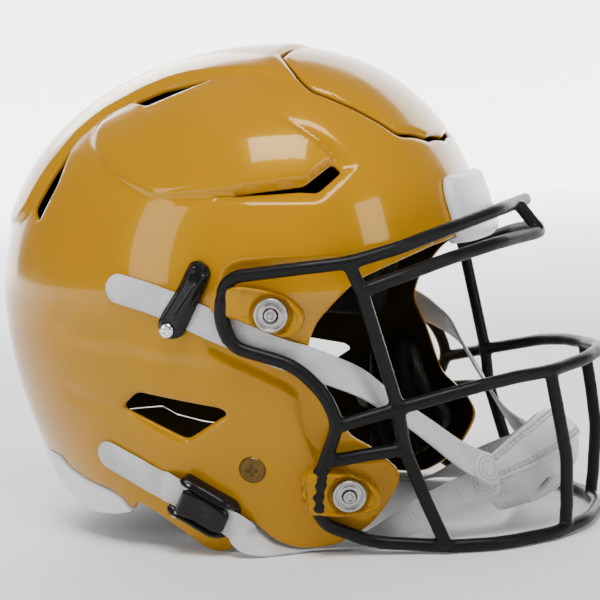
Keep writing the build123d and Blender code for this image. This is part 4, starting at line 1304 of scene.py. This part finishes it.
cup_edge = cup_outline(CUP_REACH, 0.03)
cup_slots = [circle(1.0, 40) * (0.07, 0.2) + (sign * CUP_SLOT[0], CUP_SLOT[1]) for sign in (1, -1)]
cradle = block(
    cup_edge,
    lambda ab: on_cup(ab, cup_surface(ab)),
    lambda ab: on_cup(ab, np.full(len(ab), -2.5)),
    0.026,
    cup_slots,
)
make("chin_cup_cradle", cradle, "chin_cup", CUP_COVER, "chin_cup", slot="cup_white")

reach = np.linspace(-1.6, 1.6, 110)
band_foot = np.stack([reach, band_line(reach) - band_half(reach)], axis=1)
band_crest = np.stack([reach, band_line(reach) + band_half(reach)], axis=1)
band_outline = np.vstack([band_foot, band_crest[::-1]])


def band_out(ab):
    """Fabric band: raised hems, a soft dart over the chin and small puckers at the stitching."""
    distance = nearest(ab, resample(band_outline, 0.01))
    hem = 0.8 * np.exp(-(((distance - 0.045) / 0.03) ** 2))
    seam = -0.6 * np.exp(-(((distance - 0.105) / 0.018) ** 2))
    seam = seam - 0.5 * np.exp(-(((distance - 0.175) / 0.018) ** 2))
    dart = -0.5 * np.exp(-((ab[:, 0] / 0.035) ** 2)) * ease((distance - 0.12) / 0.1)
    pucker = 0.3 * np.sin(ab[:, 0] * 46 + 6 * ab[:, 1]) * np.exp(-(((distance - 0.14) / 0.07) ** 2))
    crown = 0.8 * ease(distance / 0.3)
    return 1.5 + hem + seam + dart + pucker + crown - 1.1 * (1 - ease(distance / 0.035))


band_shape = block(band_outline, lambda ab: on_cup(ab, band_out(ab)), lambda ab: on_cup(ab, np.full(len(ab), -0.6)), 0.02)
make("chin_cup_band", band_shape, "chin_cup", CUP_COVER, slot="cup_white")


STITCH_LENGTH, STITCH_GAP, THREAD_RADIUS = 1.7, 1.3, 0.36


def stitch_row(route, out):
    """Short threads along a route of the cup's map."""
    dense = on_cup(resample(np.array(route, float), 0.004, closed=False), out)
    run = np.concatenate([[0], np.cumsum(np.linalg.norm(np.diff(dense, axis=0), axis=1))])
    shapes = []
    for start in np.arange(1.0, run[-1] - STITCH_LENGTH - 1, STITCH_LENGTH + STITCH_GAP):
        places = np.linspace(start, start + STITCH_LENGTH, 4)
        way = np.stack([np.interp(places, run, dense[:, i]) for i in range(3)], axis=1)
        shapes.append(tube(way, THREAD_RADIUS, sides=6, step=0.55))
    return join(*shapes)


rows = []
for inset, edge_sign in ((0.105, 1), (0.175, 1), (0.105, -1), (0.175, -1)):
    half = band_half(reach) - inset
    inner = np.abs(reach) < 1.42
    rows.append(stitch_row(np.stack([reach, band_line(reach) + edge_sign * half], axis=1)[inner], 2.0))
make("chin_cup_stitching", join(*rows), "chin_cup", THREAD, slot="cup_white")

def lug(middle, way, cross, length, width):
    """Rounded fabric tab over the end of a strap, and the threads of its two seams."""
    way, cross = unit(way), unit(np.array(cross) - unit(way) * np.dot(cross, unit(way)))
    out = np.cross(way, cross)
    out *= 1 if out[0] < 0 else -1
    corners = [(-length, -width), (length, -width), (length, width), (-length, width)]
    outline = resample(round_corners(corners, width * 0.9), 0.7)

    def at(uv, height):
        return local((middle, way, cross, out), uv, height)

    def top(uv):
        distance = edge_distance(uv, outline)
        groove = 0.35 * np.exp(-(((distance - 1.8) / 0.3) ** 2))
        return at(uv, 1.9 - 0.9 * (1 - ease(distance / 1.0)) - groove)

    tab = block(outline, top, lambda uv: at(uv, np.full(len(uv), -1.6)), 0.8)
    threads = []
    for inset in (2.2, 4.4):
        seam = resample(outline * (1 - inset / np.array([length, width])), 2.4)
        for here, there in zip(seam, np.roll(seam, -1, axis=0)):
            pair = np.array([here, here + (there - here) * 0.58])
            threads.append(tube(at(pair, np.full(2, 1.95)), 0.34, sides=6, step=0.6))
    return tab, join(*threads)


upper_lug = lug(np.array([-50.6, -119.5, 38.0]), (0.5, -0.7, -0.5), (0.4, 0.2, 1), 8.5, 8.6)
lower_lug = lug(np.array([-50.6, -117.5, 30.0]), (0.3, -0.9, 0.33), (0.1, 0.2, 1), 8.0, 8.6)
for name, layer, material in (("chin_strap_lugs", 0, CUP_COVER), ("chin_lug_stitching", 1, THREAD)):
    tabs = join(upper_lug[layer], lower_lug[layer])
    make(name, join(tabs, twin(tabs)), "chin_cup", material, slot="cup_white")

# ---------------------------------------------------------------- liner pads
CLOTH_FRAMES = 20


def inflate(piece, voxel, pressure, cap):
    """Blow a remeshed pad up against its own cover, with its movement capped."""
    modify(piece, "REMESH", mode="VOXEL", voxel_size=voxel, use_smooth_shade=True)
    bake(piece)
    rest = np.array([v.co for v in piece.data.vertices])
    cloth = piece.modifiers.new("cloth", "CLOTH")
    cloth.settings.quality = 6
    cloth.settings.mass = 0.3
    cloth.settings.use_pressure = True
    cloth.settings.uniform_pressure_force = pressure
    cloth.settings.tension_stiffness = 18
    cloth.settings.compression_stiffness = 18
    cloth.settings.shear_stiffness = 8
    cloth.settings.bending_stiffness = 1.5
    cloth.settings.effector_weights.gravity = 0
    cloth.collision_settings.use_collision = False
    cloth.point_cache.frame_start = 1
    cloth.point_cache.frame_end = CLOTH_FRAMES
    for step in range(1, CLOTH_FRAMES + 1):
        bpy.context.scene.frame_set(step)
    bake(piece)
    bpy.context.scene.frame_set(1)
    moved = np.array([v.co for v in piece.data.vertices]) - rest
    size = np.linalg.norm(moved, axis=1)
    moved *= np.minimum(1, cap / np.maximum(size, 1e-9))[:, None]
    piece.data.vertices.foreach_set("co", (rest + moved).ravel())
    modify(piece, "SMOOTH", factor=0.5, iterations=2)
    modify(piece, "SUBSURF", levels=1, render_levels=1)
    bake(piece)
    piece.data.polygons.foreach_set("use_smooth", [True] * len(piece.data.polygons))


def channels(piece, axis, pitch, depth, bow):
    """Sewn grooves across a pad, pressed along its own normals."""
    mesh = piece.data
    for vertex in mesh.vertices:
        place = vertex.co[axis] + bow * (vertex.co[2] - 0.1) ** 2
        groove = math.exp(-((((place / pitch) % 1.0) - 0.5) * pitch / 0.0016) ** 2)
        vertex.co -= vertex.normal * depth * groove
    mesh.update()


PAD_FILL, PAD_SHRINK, PAD_VOXEL = 0.7, 0.94, 0.005


def pad(name, node, axis, pitch, depth=0.0016, bow=0.0):
    """Channelled cushion blown up from a slightly smaller copy of a CAD pad."""
    source = bpy.data.objects[node]
    piece = bpy.data.objects.new(name, source.data.copy())
    bpy.context.scene.collection.objects.link(piece)
    places = np.array([v.co for v in piece.data.vertices])
    middle = (places.min(axis=0) + places.max(axis=0)) / 2
    piece.data.vertices.foreach_set("co", (middle + (places - middle) * PAD_SHRINK).ravel())
    inflate(piece, PAD_VOXEL, 4.0, 0.004)
    channels(piece, axis, pitch, depth, bow)
    finish_piece(piece, "root", LINER, node, slot="liner_black")


pad("brow_cushion", "front_pad", 0, 0.029)
pad("back_cushion", "back_pad", 2, 0.028)
pad("nape_cushion", "neck_pad", 0, 0.033)
pad("crown_cushion", "crown_pad", 0, 0.026)
for side, _ in SIDES:
    pad(f"temple_cushion_{side}", f"side_pad_{side}", 1, 0.024)
    pad(f"jaw_cushion_{side}", f"jaw_pad_{side}", 1, 0.011, depth=0.002, bow=3.0)
lining_edge = cup_outline(CUP_REACH - 0.06, -0.06)
lining = block(
    lining_edge, lambda ab: on_cup(ab, np.full(len(ab), -2.9)), lambda ab: on_cup(ab, np.full(len(ab), -7.6)), 0.06
)
cup_lining = mesh_object("chin_lining", *lining)
inflate(cup_lining, 0.0028, 3.0, 0.001)
finish_piece(cup_lining, "chin_cup", CUP_COVER, "chin_cup_pad", slot="cup_lining")

# painted shade on the faces that look into the helmet
for piece in (shell, panel, rear):
    paint_inside_shade(piece)

# ---------------------------------------------------------------- fittings kept from the CAD
for node in ("shell_nuts", "buckle_pins"):
    kept = bpy.data.objects[node]
    kept.data.materials.clear()
    kept.data.materials.append(STEEL)


# ---------------------------------------------------------------- light, floor and camera
def area_light(name, place, target, size, energy):
    data = bpy.data.lights.new(name, "AREA")
    data.shape = "RECTANGLE"
    data.size, data.size_y = size
    data.energy = energy
    light = bpy.data.objects.new(name, data)
    light.location = place
    light.rotation_euler = (Vector(target) - Vector(place)).to_track_quat("-Z", "Y").to_euler()
    bpy.context.scene.collection.objects.link(light)


TARGET = Vector((0, 0, 0.124))
TURN, RISE, ROLL = math.radians(18.55), math.radians(7.03), math.radians(-2.61)
DISTANCE = 1.148
back = Vector((-math.cos(TURN) * math.cos(RISE), -math.sin(TURN) * math.cos(RISE), math.sin(RISE)))
right = (-back).cross(Vector((0, 0, 1))).normalized()
up = right.cross(-back)
right_rolled = right * math.cos(ROLL) + up * math.sin(ROLL)
up_rolled = up * math.cos(ROLL) - right * math.sin(ROLL)
camera_data = bpy.data.cameras.new("photo_camera")
camera_data.sensor_width = 36.0
camera_data.lens = 118.9
camera_data.clip_start = 0.05
camera = bpy.data.objects.new("photo_camera", camera_data)
axes = Matrix((right_rolled, up_rolled, back)).transposed().to_4x4()
camera.matrix_world = Matrix.Translation(TARGET + back * DISTANCE) @ axes
bpy.context.scene.collection.objects.link(camera)
bpy.context.scene.camera = camera

world = bpy.data.worlds.new("studio")
bpy.context.scene.world = world
world.use_nodes = True
world.node_tree.nodes["Background"].inputs["Color"].default_value = (1.0, 1.0, 1.0, 1.0)
world.node_tree.nodes["Background"].inputs["Strength"].default_value = 0.22

area_light("key", (-0.55, -0.15, 1.25), (0, 0, 0.16), (0.75, 0.42), 15)
area_light("side", (-1.3, 0.95, 0.62), (0, 0.05, 0.12), (0.35, 0.9), 5)
area_light("front", (-0.6, -1.4, 0.75), (0, -0.05, 0.10), (0.5, 0.5), 5)
area_light("rim", (0.9, 0.8, 0.9), (0, 0, 0.15), (0.7, 0.7), 8)

WALL_LIGHT = 3.0
FLOOR_HALF, FLOOR_Z = 6.0, -0.0004
# painted light: the floor paper glows more and more away from the helmet, so that it fades into the bright wall
FLOOR_DIM_TO, FLOOR_BRIGHT_FROM = 0.7, 2.4
WALL_DISTANCE, WALL_HALF_WIDTH, WALL_FOOT, WALL_TOP = 2.6, 3.2, -0.01, 2.6


def paper(name, corners, shader, noise_scale, dark, light):
    """One flat sheet of studio paper, staged and not part of the helmet."""
    mesh = bpy.data.meshes.new(name)
    mesh.from_pydata(corners, [], [(0, 1, 2, 3)])
    sheet = bpy.data.objects.new(name, mesh)
    bpy.context.scene.collection.objects.link(sheet)
    shader.link(shader.mix(shader.noise(noise_scale), (dark,) * 3, (light,) * 3), "Base Color")
    mesh.materials.append(shader.material)


floor_shader = Shader("floor_paper").set(rough=0.85, specular=0.2, emission=(1.0, 1.0, 1.0))
distance = floor_shader.node("ShaderNodeVectorMath", {0: floor_shader.where}, operation="LENGTH").outputs["Value"]
# painted light: emission that rises with distance from the helmet
glow = floor_shader.range(distance, FLOOR_DIM_TO, FLOOR_BRIGHT_FROM, 0.0, WALL_LIGHT * 0.9)
floor_shader.link(glow, "Emission Strength")
floor_corners = [(x * FLOOR_HALF, y * FLOOR_HALF, FLOOR_Z) for x, y in ((-1, -1), (1, -1), (1, 1), (-1, 1))]
paper("floor", floor_corners, floor_shader, 3.0, 0.93, 0.96)

# bright paper wall far behind the helmet, square to the camera's line of sight
wall_shader = Shader("paper_wall").set(rough=0.9, specular=0.1, emission=(1.0, 1.0, 1.0), glow=WALL_LIGHT)
wall_ends = [(-back * WALL_DISTANCE + right * WALL_HALF_WIDTH * s)[:2] for s in (-1, 1)]
wall_places = ((0, WALL_FOOT), (1, WALL_FOOT), (1, WALL_TOP), (0, WALL_TOP))
paper("paper_wall", [(*wall_ends[end], height) for end, height in wall_places], wall_shader, 2.0, 0.95, 0.98)
